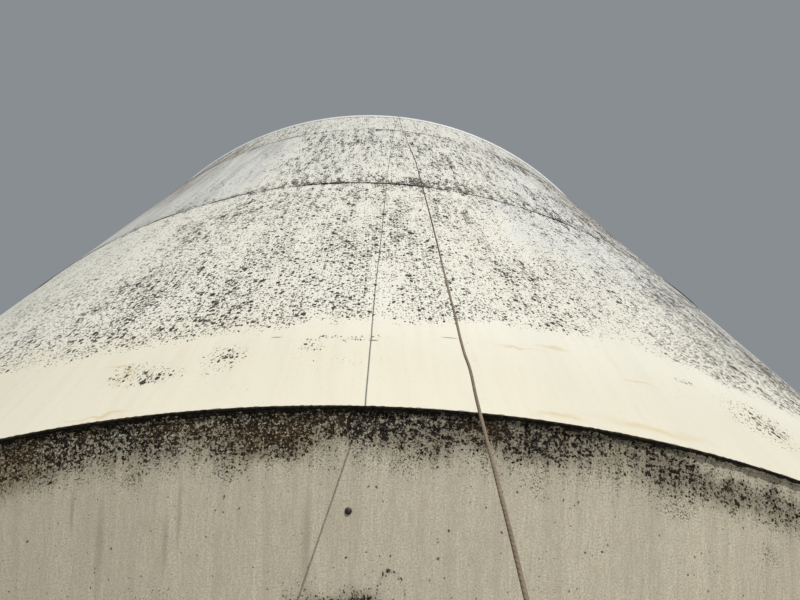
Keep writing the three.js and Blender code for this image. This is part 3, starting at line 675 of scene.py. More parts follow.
def cone_paint():
    g = Graph("cone_paint")
    arc = g.arc()
    inward = CONE_TOP_RADIUS - g.out()
    down = (inward + (CONE_TOP_Z - g.z)) * HALF_ROOT
    flat = g.joined(arc, down)
    soft = g.jittered(flat, 34, 0.05)
    dots = g.jittered(flat, 330, 0.0040)

    # How thickly mould grows, from the rim down
    along = g.noise(g.place, (9, 9, 0), 5, 0.65)
    drips = g.noise(flat, (70, 9, 0), 3, 0.6)
    depth = g.scaled(along, 0.060, g.scaled(drips, 0.045, 0.012))
    growth = g.ramp(down - depth, -0.046, 0.050, 1.0, 0.0)
    growth = g.raised(growth, soft, MOULD_PATCHES, 0.50)
    roots = g.ramp(down, 0.015, 0.065, 0.34, 0.0) * g.ramp(arc, 0.05, 0.40, 1.0, 0.25)
    growth = g.math("MINIMUM", growth + roots, 1.75)
    growth = g.thinned(growth, soft, BARE_PATCHES, 0.75, 0.3)
    stray = g.ramp(g.noise(flat, 26, 3), 0.50, 0.75) * g.ramp(down, 0.06, 0.30, 0.40, 0.22)
    growth = g.most(growth, stray)
    low = g.ramp(g.noise(flat, 7.0, 3), 0.40, 0.60) * g.ramp(down, 0.205, 0.29, 0.0, 0.62)
    growth = g.most(growth, low * g.ramp(down, 0.5, 1.2, 1.0, 0.4))
    growth = g.raised(growth, soft, LOW_PATCHES, 0.78)
    growth = g.most(growth, g.ramp(abs(g.distance(dots, ARCH) - 1.0), 0.04, 0.22, 0.62, 0.0))
    clump = g.ramp(g.noise(flat, 70, 3, 0.6), 0.34, 0.66, 0.66, 1.22)
    thick = growth * clump

    # Packed round spots, ragged marks in two sizes between them, and a few lone marks
    rounded = g.ramp(arc, -0.15, 0.20)
    bold = thick * g.scaled(rounded, 0.12, 0.43)
    big = g.spots(dots, 165, bold, 1.8, 14.0)
    least = g.scaled(rounded, 0.022, g.scaled(thick, -0.170, 0.708))
    broad = g.marks(dots, 150, least, 38.0, 0.64)
    fine = g.marks(dots, 280, least + 0.004, 34.0, 0.72)
    lone = g.spots(dots, 84, g.ramp(g.noise(flat, 11, 3), 0.36, 0.62, 0.05, 0.20), 4.0, 16.0)
    mould = g.most(big, broad * 0.97, fine * 0.95, lone * 0.75)
    edge = down - depth * 0.6
    halo = g.ramp(edge, 0.025, 0.110, 1.0, 0.0) * g.ramp(drips, 0.40, 0.60, 0.5, 1.0)
    for oval in HALO_PATCHES:
        halo = g.most(halo, g.patch(soft, oval))
    pepper = g.marks(dots, 340, g.scaled(halo, -0.16, 0.67), 18.0)
    mould = g.most(mould, pepper * g.ramp(halo, 0.0, 0.6, 0.0, 0.85))
    for oval in BLOTS:
        mould = g.most(mould, g.patch(dots, oval, 0.5) * 0.88)

    # Paint with upright streaks and fine grain, and a dark film where mould is thick
    streak = g.noise(flat, (42, 2.4, 0), 5, 0.65)
    paint = g.mix(g.ramp(streak, 0.34, 0.72, 0.0, 0.42), CONE_PAINT, GREY_STREAK)
    fibre = g.noise(flat, (260, 40, 0), 3, 0.6)
    paint = g.mix(g.ramp(fibre, 0.35, 0.7, 0.0, 0.38), paint, WORN_PAINT)
    grain = g.noise(flat, 380, 4, 0.72)
    paint = g.mix(g.ramp(grain, 0.42, 0.62, 0.0, 0.72), paint, WORN_PAINT)
    field = g.noise(g.place, 2.2, 4)
    paint = g.mix(g.ramp(field, 0.35, 0.7, 0.0, 0.20), paint, FADED_PAINT)
    paint = g.mix(g.ramp(arc, -0.8, 0.1, 0.34, 0.0), paint, LEFT_PAINT)
    paint = g.painted(paint, flat, STREAKS, 0.1, 0.45, DARK_STREAK)
    film = g.ramp(growth, 0.25, 1.30) * g.scaled(rounded, 0.16, 0.56)
    paint = g.mix(film, paint, MOULD_FILM)

    tint = g.ramp(g.noise(flat, 9.0, 3), 0.42, 0.62)
    shade = g.mix(tint, MOULD_BLACK, MOULD_BROWN)
    for oval in AMBER_PATCHES:
        patch = g.patch(soft, oval, 0.1)
        amount = patch * g.ramp(g.noise(flat, 90, 3), 0.42, 0.62)
        shade = g.mix(amount * 0.22, shade, MOULD_AMBER)
        paint = g.mix(patch * 0.55, paint, AMBER_PAINT)
    colour = g.mix(mould * 0.985, paint, shade)
    flakes = g.marks(dots, 230, 0.575, 34.0) * g.ramp(growth, 0.3, 0.9, 0.0, 0.92)
    flakes = flakes * g.scaled(rounded, -0.60, 1.0)
    colour = g.mix(flakes, colour, g.mix(tint, PALE_FLAKE, WARM_FLAKE))

    # The corner under the plate's edge is painted black with a ragged border: a painted shadow of the rim's
    # edge, with crust
    border = g.ramp(g.noise(g.place, 34, 5, 0.7), 0.34, 0.66, 0.0014, 0.0080)
    border = border * g.ramp(arc, 0.25, 0.75, 1.0, 0.50)
    black = g.math("MULTIPLY", border - inward, 900.0, clamp=True)
    black = black * (g.z > RIM_Z - 0.006)
    colour = g.mix(black * 0.92, colour, RIM_SHADOW_BLACK)
    crust = g.marks(dots, 150, 0.56, 14.0, 0.70) * g.ramp(down, 0.04, 0.14, 0.7, 0.0)
    height = g.scaled(grain, 0.14, crust)
    return g.finish(colour, g.scaled(mould, 0.10, 0.68), height, 0.0011, specular=0.08)


# Finishes of the frame, the outlet, the cord and the plug

RED = (0.30, 0.115, 0.095)
FADED_RED = (0.40, 0.20, 0.165)
RED_RUN = (0.17, 0.075, 0.055)
FRESH_RUST = (0.20, 0.066, 0.022)
OLD_RUST = (0.085, 0.036, 0.020)
SPLASHED_DIRT = (0.21, 0.165, 0.115)
ZINC = (0.40, 0.415, 0.42)
BRIGHT_ZINC = (0.55, 0.565, 0.56)
DULL_ZINC = (0.33, 0.32, 0.29)
ZINC_BLOOM = (0.66, 0.65, 0.60)
ZINC_RUST = (0.20, 0.075, 0.028)
DUSTY_CORD = (0.27, 0.215, 0.155)
DUSTY_DARK = (0.20, 0.155, 0.11)
RUSTY_CORD = (0.17, 0.12, 0.10)
RUSTY_DARK = (0.10, 0.07, 0.06)
PALE_STRAND = (0.34, 0.28, 0.21)
RUBBER = (0.020, 0.017, 0.015)
WORN_RUBBER = (0.050, 0.043, 0.036)


def red_oxide():
    g = Graph("frame_paint")
    broad = g.noise(g.place, 3.0, 4)
    fine = g.noise(g.place, 46, 4, 0.65)
    colour = g.mix(g.ramp(broad, 0.35, 0.7), RED, FADED_RED)
    run = g.noise(g.place, (34, 34, 2.4), 4)
    colour = g.mix(g.ramp(run, 0.5, 0.75, 0.0, 0.45), colour, RED_RUN)
    rust = g.ramp(g.scaled(broad, 0.35, fine * 0.65), 0.56, 0.62)
    rusty = g.mix(g.noise(g.place, 150, 3), FRESH_RUST, OLD_RUST)
    colour = g.mix(rust * 0.85, colour, rusty)
    splash = g.ramp(g.z, 0.05, 0.45, 0.75, 0.0) * g.ramp(fine, 0.35, 0.6, 0.4, 1.0)
    colour = g.mix(splash, colour, SPLASHED_DIRT)
    height = rust * 0.5 + fine * 0.35
    return g.finish(colour, g.ramp(rust, 0.0, 1.0, 0.6, 0.9), height, 0.0007)


def galvanised():
    g = Graph("galvanised")
    _, tone = g.cells(g.place, 85, "3D")
    colour = g.mix(tone, ZINC, BRIGHT_ZINC)
    dull = g.noise(g.place, 11, 5, 0.65)
    colour = g.mix(g.ramp(dull, 0.4, 0.7, 0.0, 0.6), colour, DULL_ZINC)
    bloom = g.ramp(g.noise(g.place, 30, 4, 0.7), 0.62, 0.72)
    colour = g.mix(bloom * 0.6, colour, ZINC_BLOOM)
    rust = g.ramp(g.noise(g.place, 18, 5, 0.7), 0.64, 0.70)
    colour = g.mix(rust, colour, ZINC_RUST)
    roughness = g.ramp(dull, 0.3, 0.7, 0.42, 0.68)
    return g.finish(colour, roughness, dull + rust, 0.0003, metallic=0.75, specular=0.5)


def rusty_cord():
    g = Graph("cord_rust", "cord")
    twist = g.math("SINE", g.scaled(g.z, 1400.0, g.x * 2400.0))
    patchy = g.ramp(g.noise(g.place, 16, 4, 0.7), 0.35, 0.68)
    dusty = g.mix(patchy, DUSTY_CORD, DUSTY_DARK)
    dark = g.mix(patchy, RUSTY_CORD, RUSTY_DARK)
    colour = g.mix(g.ramp(g.z, 2.35, 2.80), dusty, dark)
    pale = g.ramp(g.noise(g.place, 260, 2), 0.5, 0.7, 0.0, 0.35)
    colour = g.mix(pale, colour, PALE_STRAND)
    return g.finish(colour, 0.85, twist, 0.00012, metallic=0.1)


def rubber():
    g = Graph("plug_rubber", "cone_paint")
    grain = g.noise(g.place, 900, 3)
    colour = g.mix(grain, RUBBER, WORN_RUBBER)
    return g.finish(colour, g.ramp(grain, 0.3, 0.7, 0.45, 0.62), grain, 0.0001, specular=0.5)


# Mesh helpers

ALL_SMOOTH = 180.0
WELD = 0.004


class Shape:
    """Points and faces gathered for one piece."""

    def __init__(self):
        self.points, self.faces, self.count = [], [], 0

    def add(self, points, faces):
        self.points.append(np.asarray(points, float))
        self.faces += [tuple(int(k) + self.count for k in face) for face in faces]
        self.count += len(points)

    def spindle(self, base, axis, profile, sides):
        """Rings of (radius, height along the axis) from base on, capped at both ends."""
        axis = Vector(axis).normalized()
        first = axis.orthogonal().normalized()
        second = axis.cross(first)
        around = [2 * math.pi * k / sides for k in range(sides)]
        spokes = [first * math.cos(turn) + second * math.sin(turn) for turn in around]
        points = [base + axis * height + spoke * radius for radius, height in profile for spoke in spokes]
        self.add(points, ring_faces(len(profile), sides))

    def bead(self, path, radius, rng, sides=8, step=0.004):
        """A weld bead: a lumpy rod along a path, sunk to its middle in what it joins."""
        for first, last in zip(path[:-1], path[1:]):
            length = (last - first).length
            count = max(2, round(length / step))
            lumps = rng.uniform(0.72, 1.0, count + 1) * radius
            lumps[0] = lumps[-1] = radius * 0.8
            profile = [(lump, length * k / count) for k, lump in enumerate(lumps)]
            self.spindle(first, last - first, profile, sides)

    def bolt(self, base, axis, size):
        """A washer, a hexagon nut and the end of its bolt."""
        washer, nut = size * 0.16, size * 0.8
        self.spindle(base, axis, [(size * 1.05, 0), (size * 1.05, washer * 0.8), (size, washer)], 20)
        corner = size / math.cos(math.pi / 6) * 0.82
        sides = ((0.93, 0), (1, 0.1), (1, 0.86), (0.88, 1))
        self.spindle(base, axis, [(corner * wide, washer + nut * high) for wide, high in sides], 6)
        stud = washer + nut + size * 0.35
        rod = [(size * 0.5, 0), (size * 0.5, stud), (size * 0.42, stud + size * 0.08)]
        self.spindle(base, axis, rod, 12)

    def piece(self, name, finish, sharp=35.0):
        mesh = bpy.data.meshes.new(name)
        mesh.from_pydata(np.concatenate(self.points).tolist(), [], self.faces)
        return make_piece(name, mesh, finish, sharp)


def ring_faces(rings, sides):
    """Quads between rings of points, and a cap at each end."""
    faces = []
    for j in range(rings - 1):
        for k in range(sides):
            after = (k + 1) % sides
            faces.append((j * sides + k, j * sides + after, (j + 1) * sides + after, (j + 1) * sides + k))
    faces.append(tuple(range(sides))[::-1])
    faces.append(tuple((rings - 1) * sides + k for k in range(sides)))
    return faces


def make_piece(name, mesh, finish, sharp):
    mesh.validate()
    mesh.polygons.foreach_set("use_smooth", [True] * len(mesh.polygons))
    mesh.set_sharp_from_angle(angle=math.radians(sharp))
    mesh.materials.clear()
    mesh.materials.append(finish.material)
    piece = placed(name, mesh)
    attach(piece, "root")
    return piece


def cad_shape(node):
    """A CAD piece's mesh with its flat faces whole again."""
    shape = bmesh.new()
    shape.from_mesh(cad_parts[node].data)
    bmesh.ops.remove_doubles(shape, verts=shape.verts, dist=1e-5)
    bmesh.ops.dissolve_limit(shape, angle_limit=math.radians(1), verts=shape.verts, edges=shape.edges)
    return shape


BEVEL_OVER = math.radians(45)


def eased(node, width, finish):
    """Replaces a CAD piece by one whose edges are broken and whose inner corners are filled a little."""
    shape = cad_shape(node)
    edges = [e for e in shape.edges if len(e.link_faces) == 2 and e.calc_face_angle() > BEVEL_OVER]
    bmesh.ops.bevel(shape, geom=edges, offset=width, segments=2, profile=0.6, affect="EDGES",
                    clamp_overlap=True)
    mesh = bpy.data.meshes.new(node + "_eased")
    shape.to_mesh(mesh)
    shape.free()
    piece = make_piece(node + "_eased", mesh, finish, 40.0)
    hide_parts(node)


def weld_edges(shape, node, radius, rng, wanted):
    """Beads along the edges of a CAD piece that wanted(edge) picks."""
    source = cad_shape(node)
    for edge in source.edges:
        if len(edge.link_faces) == 2 and wanted(edge):
            outward = sum((face.normal for face in edge.link_faces), Vector()).normalized() * radius * 0.2
            shape.bead([v.co + outward for v in edge.verts], radius, rng)
    source.free()


def inner_corner(edge):
    return edge.calc_face_angle_signed() < -math.radians(50)


def bounds_face(edge, direction, least):
    """Whether just one of the edge's faces looks along a direction."""
    looks = [face.normal.dot(direction) > least for face in edge.link_faces]
    return looks[0] != looks[1]


def azimuth_axes(azimuth):
    """Outward and sideways directions at an azimuth."""
    outward = Vector((math.sin(azimuth), -math.cos(azimuth), 0))
    return outward, Vector((math.cos(azimuth), math.sin(azimuth), 0))


def turned(profile, segments, move=None):
    """Points and quads of a closed profile of (radius, height) turned round the bin's axis.

    The profile runs with its material on its left. move(azimuth, radius, height) may shift each point.
    """
    angles = np.arange(segments) * 2 * math.pi / segments
    radii, heights = (np.array(v, float) for v in zip(*profile))
    azimuth, radius = np.meshgrid(angles, radii, indexing="ij")
    height = np.meshgrid(angles, heights, indexing="ij")[1]
    if move is not None:
        radius, height = move(azimuth, radius, height)
    points = np.stack([radius * np.sin(azimuth), -radius * np.cos(azimuth), height], axis=-1).reshape(-1, 3)
    count = len(profile)
    ring = np.arange(segments)[:, None] * count
    after = np.roll(ring, -1, axis=0)
    row = np.arange(count)[None, :]
    up = (row + 1) % count
    return points, np.stack([ring + row, after + row, after + up, ring + up], axis=-1).reshape(-1, 4)


def turned_piece(name, profile, segments, finish, move=None, sharp=35.0):
    shape = Shape()
    shape.add(*turned(profile, segments, move))
    return shape.piece(name, finish, sharp)


def circle(radius, height):
    """Points round the bin's axis, the last on the first."""
    return [azimuth_axes(a)[0] * radius + UP * height for a in np.linspace(0, 2 * math.pi, 97)]


def between(low, high, pitch):
    """Values from low to high, both included, about a pitch apart."""
    return list(np.linspace(low, high, max(2, round((high - low) / pitch) + 1)))


def ripple(azimuth, height, amount):
    """Slow inward dents of rolled plate, all round the bin."""
    waves = (
        np.sin(9 * azimuth + 3.1 * height)
        + np.sin(17 * azimuth - 4.3 * height + 1.0)
        + 0.7 * np.sin(31 * azimuth + 6.7 * height + 2.0)
        + 0.5 * np.sin(53 * azimuth - 11.0 * height)
    )
    return -amount * (0.5 + waves / 6.4)


# The wall

LAP_FLARE = {"middle": 0.0036, "upper": 0.0018}
LAP_REACH = 0.07
LAP_STEP = 0.011
WALL_SEGMENTS = 576
DENT = 0.0022


def lap_flare(azimuth, course):
    """How far the lap stands off, tight in some stretches and open in others."""
    phase = len(course)
    wave = np.sin(7 * azimuth + 1.9 + phase) + np.sin(19 * azimuth + 2.4 * phase) + np.sin(43 * azimuth)
    return LAP_FLARE[course] * np.clip(0.50 + 0.34 * wave, 0.12, 1.0)


def lap_rise(azimuth, joint):
    """How much higher or lower each plate's lower edge lies."""
    arc = (azimuth + math.pi) % (2 * math.pi) - math.pi
    plate = np.floor((arc * RADIUS - joint) / PLATE_ARC)
    return LAP_STEP * np.sin(plate * 2.3 + 0.4)


def course_ring(name, node, low, high, finish, lap=None):
    """One course of the wall; lap names the course whose lower edge laps over the one below."""
    outer = [low, low + 0.006, low + 0.02, low + 0.045, *between(low + 0.09, high - 0.05, 0.11), high]
    inside = RADIUS - WALL_PLATE
    profile = [(RADIUS, z) for z in outer] + [(inside, high), (inside, (low + high) / 2), (inside, low)]

    def move(azimuth, radius, height):
        on_outside = radius > inside + 0.001
        near_edge = np.clip((height - low) / 0.05, 0, 1) * np.clip((high - height) / 0.05, 0, 1)
        shift = ripple(azimuth, height, DENT) * near_edge
        rise = 0
        if lap:
            share = np.clip(1 - (height - low) / LAP_REACH, 0, 1)
            shift = shift + lap_flare(azimuth, lap) * share ** 2
            rise = lap_rise(azimuth, JOINT_ARC[lap]) * share
        return radius + shift * on_outside, height + rise

    piece = turned_piece(name, profile, WALL_SEGMENTS, finish, move)
    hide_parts(node)


def make_wall(finish):
    course_ring("hopper_band_plates", "hopper_band", RIM_Z, LOWER_Z, finish)
    course_ring("lower_course_plates", "wall_course_lower", LOWER_Z, MIDDLE_Z + 0.01, finish)
    course_ring("middle_course_plates", "wall_course_middle", MIDDLE_Z, UPPER_Z + 0.01, finish, "middle")
    course_ring("upper_course_plates", "wall_course_upper", UPPER_Z, EAVE_Z, finish, "upper")


# The rim: the weld that fills the groove behind the plate's edge, and the crust on the edge itself

CRUST_AND_SHADE_BLACK = (0.012, 0.011, 0.009)
CRUST_BROWN = (0.045, 0.036, 0.022)
MOSS = (0.075, 0.070, 0.028)
RIM_PITCH = 0.0045


def rim_crust():
    g = Graph("rim_crust", "wall_paint")
    patchy = g.noise(g.place, 120, 4, 0.65)
    # Painted shade with crust: the plate's downward-facing lower edge is near black, mottled with brown and
    # moss
    colour = g.mix(g.ramp(patchy, 0.4, 0.62), CRUST_AND_SHADE_BLACK, CRUST_BROWN)
    colour = g.mix(g.ramp(g.noise(g.place, 14, 3), 0.52, 0.68, 0.0, 0.5), colour, MOSS)
    return g.finish(colour, 0.92, patchy, 0.0018)


def wander(rng, turns, lowest, highest, count):
    """A smooth random wave all round the bin, about 1 high."""
    total = np.zeros_like(turns)
    for frequency in rng.integers(lowest, highest, count):
        total += np.sin(frequency * turns + rng.uniform(0, 2 * math.pi)) / math.sqrt(count)
    return total


def make_rim(crust, paint):
    segments = int(2 * math.pi * RADIUS / RIM_PITCH)
    turns = np.arange(segments) * 2 * math.pi / segments
    rng = np.random.default_rng(11)
    slow = wander(rng, turns, 20, 160, 14)[:, None]
    quick = wander(rng, turns, 200, 1200, 30)[:, None]
    inside = RADIUS - WALL_PLATE
    top = [(RADIUS - 0.0004, RIM_Z + 0.0014), (inside + 0.0004, RIM_Z + 0.0014)]
    below = [(inside - 0.0006, RIM_Z - 0.0002), (inside + 0.0012, RIM_Z - 0.0016),
             (RADIUS - 0.0012, RIM_Z - 0.0014), (RADIUS + 0.0001, RIM_Z + 0.0003)]

    def roughen(azimuth, radius, height):
        grain = rng.normal(0, 0.0002, height.shape)
        lower = height < RIM_Z + 0.001
        drop = 0.0005 * slow + 0.0007 * quick + grain
        return radius + 0.0003 * np.clip(quick, -1, 1) * lower, height + np.where(lower, drop, 0)

    turned_piece("rim_edge_crust", top + below, segments, crust, roughen, ALL_SMOOTH)

    weld = [
        (inside - 0.0001, RIM_Z + 0.0040),
        (inside - 0.0062, RIM_Z - 0.0016),
        (inside - 0.0050, RIM_Z - 0.0028),
        (inside - 0.0030, RIM_Z - 0.0024),
        (inside - 0.0012, RIM_Z - 0.0010),
        (inside - 0.0001, RIM_Z + 0.0006),
    ]

    def lumpy(azimuth, radius, height):
        face = height < RIM_Z + 0.002
        swell = 0.0006 * slow + 0.0005 * quick + rng.normal(0, 0.00015, height.shape)
        return radius, height + np.where(face, swell, 0)

    turned_piece("rim_weld", weld, segments, paint, lumpy, ALL_SMOOTH)


# The cone under the wall

CONE_PLATE = 0.005
CONE_SLANT = (CONE_TOP_RADIUS - CONE_LOW_RADIUS) / HALF_ROOT
CORNER_FILL = 0.0050
CORNER_REACH = 0.10
CONE_SEGMENTS = 480


def on_cone(down):
    """Radius and height at a distance down the cone's outer face."""
    return CONE_TOP_RADIUS - down * HALF_ROOT, CONE_TOP_Z - down * HALF_ROOT


def filled(down):
    """A point of the cone's face, lifted a little where it is faired into the corner under the rim."""
    radius, height = on_cone(down)
    lift = CORNER_FILL * max(0, 1 - down / CORNER_REACH) ** 2 * HALF_ROOT
    return radius + lift, height - lift


def make_cone(finish):
    downs = between(0, 0.12, 0.012) + between(0.15, 0.36, 0.03) + between(0.42, CONE_SLANT, 0.09)
    outer = [filled(down) for down in downs]
    across = CONE_PLATE * math.sqrt(2)
    inner = [(radius - across, height) for radius, height in map(on_cone, between(0, CONE_SLANT, 0.6))]

    def move(azimuth, radius, height):
        expected = CONE_TOP_RADIUS - (CONE_TOP_Z - height)
        on_outside = np.abs(radius - expected) < 0.001
        near_edge = np.clip((CONE_TOP_Z - height) / 0.05, 0, 1) * np.clip((height - CONE_LOW_Z) / 0.1, 0, 1)
        return radius + ripple(azimuth, 2 * height, 0.002) * near_edge * on_outside, height

    piece = turned_piece("hopper_cone_plates", inner + outer[::-1], CONE_SEGMENTS, finish, move)
    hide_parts("hopper_cone")


def strips(name, azimuths, path, arch, finish, rough=0.0):
    """Raised strips, one at each azimuth, along a path of (radius, height) points.

    arch lists (sideways, raised) points of a strip's section, from left to right.
    """
    rng = np.random.default_rng(5)
    shape = Shape()
    places = [Vector((radius, 0, height)) for radius, height in path]
    for azimuth in azimuths:
        outward, side = azimuth_axes(azimuth)
        points = []
        for k, place in enumerate(places):
            along = (places[min(k + 1, len(places) - 1)] - places[max(k - 1, 0)]).normalized()
            raised = outward * -along.z + UP * along.x
            centre = outward * place.x + UP * place.z
            lift = 1 - rng.uniform(0, rough)
            for sideways, rise in arch:
                points.append(centre + side * sideways + raised * (rise * lift if rise > 0 else rise))
        shape.add(points, ring_faces(len(places), len(arch)))
    shape.piece(name, finish, 50.0)


GORES = 8
POST_AZIMUTHS = [(k + 0.5) * 2 * math.pi / GORES for k in range(GORES)]


def make_cone_seams(finish):
    path = [on_cone(down) for down in between(0.03, CONE_SLANT - 0.01, 0.009)]
    arch = [(0.005, -0.0012), (0.003, 0.0007), (0.0, 0.0013), (-0.003, 0.0007), (-0.005, -0.0012)]
    strips("cone_seam_welds", POST_AZIMUTHS, path, arch, finish, rough=0.4)


PLUG_PLACE = (-0.029, 0.154)
PLUG_RADIUS = 0.0052


def make_plug(finish):
    """The small black plug in a hole of the cone, with a collar round its dome."""
    arc, down = PLUG_PLACE
    outward, _ = azimuth_axes(arc / RADIUS)
    radius, height = on_cone(down)
    normal = (outward - UP).normalized()
    centre = outward * (radius - 0.0012) + UP * height
    collar = [(PLUG_RADIUS, -0.002), (PLUG_RADIUS, 0.0007), (PLUG_RADIUS * 0.93, 0.0012)]
    wide, high = PLUG_RADIUS * 0.84, PLUG_RADIUS * 0.36
    dome = [(wide * math.cos(a), 0.0013 + high * math.sin(a)) for a in np.radians([0, 20, 40, 60, 80])]
    shape = Shape()
    shape.spindle(centre, normal, collar + dome, 28)
    shape.piece("cone_plug", finish, 50.0)


# The roof, its filling collar and lid

ROOF_PANELS = 16
ROOF_SLOPE = math.radians(30)
ROOF_SAG = 0.0035


def roof_height(radius):
    return ROOF_TOP_Z - (radius - (COLLAR_RADIUS + SEAM_GAP)) * math.tan(ROOF_SLOPE)


def make_roof(finish):
    rise = WALL_PLATE / math.cos(ROOF_SLOPE)
    edge, bend, inside, hole = ROOF_EDGE, 0.0035, RADIUS + SEAM_GAP, COLLAR_RADIUS + SEAM_GAP
    outer = [(r, roof_height(r)) for r in between(hole, edge - 0.012, 0.12)]
    turn = [(edge - bend * (1 - math.cos(a)), roof_height(edge) - bend * (1 - math.sin(a)))
            for a in np.radians([75, 50, 25, 0])]
    lip = [(inside + 0.0016, ROOF_LOW_Z), (inside, ROOF_LOW_Z + 0.001)]
    under = [(r, roof_height(r) - rise) for r in (inside, *between(hole, inside - 0.3, 0.6)[::-1])]

    def sag(azimuth, radius, height):
        inner = (radius < edge - 0.05) & (radius > COLLAR_RADIUS + 0.05)
        return radius, height - np.where(inner, ROOF_SAG * (0.5 - 0.5 * np.cos(ROOF_PANELS * azimuth)), 0)

    profile = (outer + turn + lip + under)[::-1]
    piece = turned_piece("roof_plates", profile, CONE_SEGMENTS, finish, sag)
    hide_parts("roof_cone")
    path = [(r, roof_height(r)) for r in between(COLLAR_RADIUS + 0.02, edge - 0.02, 0.06)]
    half = [(0.022, -0.004), (0.021, 0.0022), (0.018, 0.0030)]
    arch = half + [(-sideways, rise) for sideways, rise in half[::-1]]
    azimuths = [k * 2 * math.pi / ROOF_PANELS for k in range(ROOF_PANELS)]
    strips("roof_laps", azimuths, path, arch, finish)


COLLAR_PLATE = 0.005
LID_PLATE = 0.0035
LID_CROWN = 0.055
LID_SEGMENTS = 160


def make_collar(finish):
    low, high, lip = COLLAR_LOW_Z, COLLAR_TOP_Z, 0.0015
    outer, inner = COLLAR_RADIUS, COLLAR_RADIUS - COLLAR_PLATE
    outside = [(outer, low), (outer, high - lip), (outer - lip, high)]
    inside = [(inner + lip, high), (inner, high - lip), (inner, low)]
    piece = turned_piece("fill_collar_ring", outside + inside, LID_SEGMENTS, finish)
    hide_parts("fill_collar")
    shape = Shape()
    shape.bead(circle(outer, roof_height(outer) + 0.001), WELD, np.random.default_rng(3))
    shape.piece("fill_collar_weld", finish, ALL_SMOOTH)


def make_lid(zinc):
    edge, skirt, top = extent("fill_lid")
    seat, inner, face = COLLAR_TOP_Z + SEAM_GAP, edge - LID_PLATE, edge - 0.0012
    under = [(LID_CROWN, top - LID_PLATE), (COLLAR_RADIUS, seat + 0.0004), (inner - 0.004, seat + 0.0002)]
    inside = [(inner, seat - 0.003), (inner, skirt + 0.001), (edge - LID_PLATE * 0.5, skirt)]
    outside = [(edge, skirt + 0.0015), (face, skirt + 0.006), (face, seat - 0.002)]
    bend = [(edge - 0.003, seat + 0.002), (edge - 0.008, seat + 0.004)]
    sheet = [(COLLAR_RADIUS - 0.01, seat + 0.0085), (LID_CROWN + 0.01, top - 0.0012),
             (LID_CROWN, top - 0.0002)]
    shape = Shape()
    shape.spindle(Vector(), UP, under + inside + outside + bend + sheet, LID_SEGMENTS)
    piece = shape.piece("fill_lid_sheet", zinc)
    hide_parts("fill_lid")


# The outlet

FLANGE_PLATE = 0.010
THROAT_BOLT = 0.012
THROAT_BOLT_OUT = 0.222
SPOUT_BOLT = 0.010
SPOUT_BOLT_OUT = 0.220
SPOUT_PLATE = 0.007
SPOUT_SEGMENTS = 128


def make_outlet(cone, zinc, red):
    eased("outlet_throat", 0.0015, cone)
    eased("gate_frame", 0.0015, zinc)
    eased("gate_plate", 0.0008, zinc)
    eased("gate_handle", 0.0012, red)


def make_spout(zinc):
    rim, low, high = extent("outlet_spout")
    outer, inner, collar, lip = CONE_LOW_RADIUS, CONE_LOW_RADIUS - SPOUT_PLATE, high - FLANGE_PLATE, 0.0015
    pipe = [(inner + 0.002, low), (outer - 0.002, low), (outer, low + 0.002), (outer, collar - 0.004)]
    flange = [(outer + 0.004, collar), (rim - lip, collar), (rim, collar + lip), (rim, high - lip),
              (rim - lip, high)]
    inside = [(inner, high), (inner, low + 0.002)]
    piece = turned_piece("outlet_spout_ring", pipe + flange + inside, SPOUT_SEGMENTS, zinc)
    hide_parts("outlet_spout")


def make_outlet_bolts(zinc):
    bolts = Shape()
    flange_top = extent("outlet_throat")[1] + FLANGE_PLATE
    spout_flange = extent("outlet_spout")[2] - FLANGE_PLATE
    for x, y in ((1, 1), (1, -1), (-1, 1), (-1, -1), (1, 0), (-1, 0)):
        place = Vector((x * THROAT_BOLT_OUT, y * THROAT_BOLT_OUT, flange_top))
        bolts.bolt(place, UP, THROAT_BOLT)
    for quarter in range(4):
        for turn in (-0.2, 0.2):
            outward, _ = azimuth_axes(quarter * math.pi / 2 + turn)
            bolts.bolt(outward * SPOUT_BOLT_OUT + UP * spout_flange, -UP, SPOUT_BOLT)
    bolts.piece("outlet_bolts", zinc)


def make_outlet_welds(cone):
    rng = np.random.default_rng(8)
    welds = Shape()
    weld_edges(welds, "outlet_throat", WELD, rng, inner_corner)
    welds.bead(circle(CONE_LOW_RADIUS, CONE_LOW_Z), WELD, rng)
    welds.piece("outlet_welds", cone, ALL_SMOOTH)


# The post frame

FRAME_EDGE = 0.0022
BEAM_WELD = 0.0035
FOOT_BOLT = 0.018
FOOT_BOLT_OUT = 0.095


def make_frame(red):
    for kind in ("post", "ring_beam"):
        for k in range(GORES):
            eased(f"{kind}_{k + 1}", FRAME_EDGE, red)


def make_frame_welds(red):
    rng = np.random.default_rng(21)
    welds = Shape()
    for k, azimuth in enumerate(POST_AZIMUTHS):
        to_cone = (UP - azimuth_axes(azimuth)[0]).normalized()
        weld_edges(welds, f"post_{k + 1}", WELD, rng,
                   lambda e: inner_corner(e) and max(v.co.z for v in e.verts) < 0.03)
        weld_edges(welds, f"post_{k + 1}", WELD, rng, lambda e: bounds_face(e, to_cone, 0.95))
        side = azimuth_axes(k * 2 * math.pi / GORES)[1]
        for end in (side, -side):
            weld_edges(welds, f"ring_beam_{k + 1}", BEAM_WELD, rng, lambda e: bounds_face(e, end, 0.7))
    welds.piece("frame_welds", red, ALL_SMOOTH)


def make_anchor_bolts(zinc):
    bolts = Shape()
    for outward, side in map(azimuth_axes, POST_AZIMUTHS):
        for across in (-FOOT_BOLT_OUT, FOOT_BOLT_OUT):
            for along in (-FOOT_BOLT_OUT, FOOT_BOLT_OUT):
                place = outward * POST_OUT + side * across + outward * along + UP * FOOT_TOP
                bolts.bolt(place, UP, FOOT_BOLT)
    bolts.piece("anchor_bolts", zinc)


# The ladder, its brackets and the lid's lever

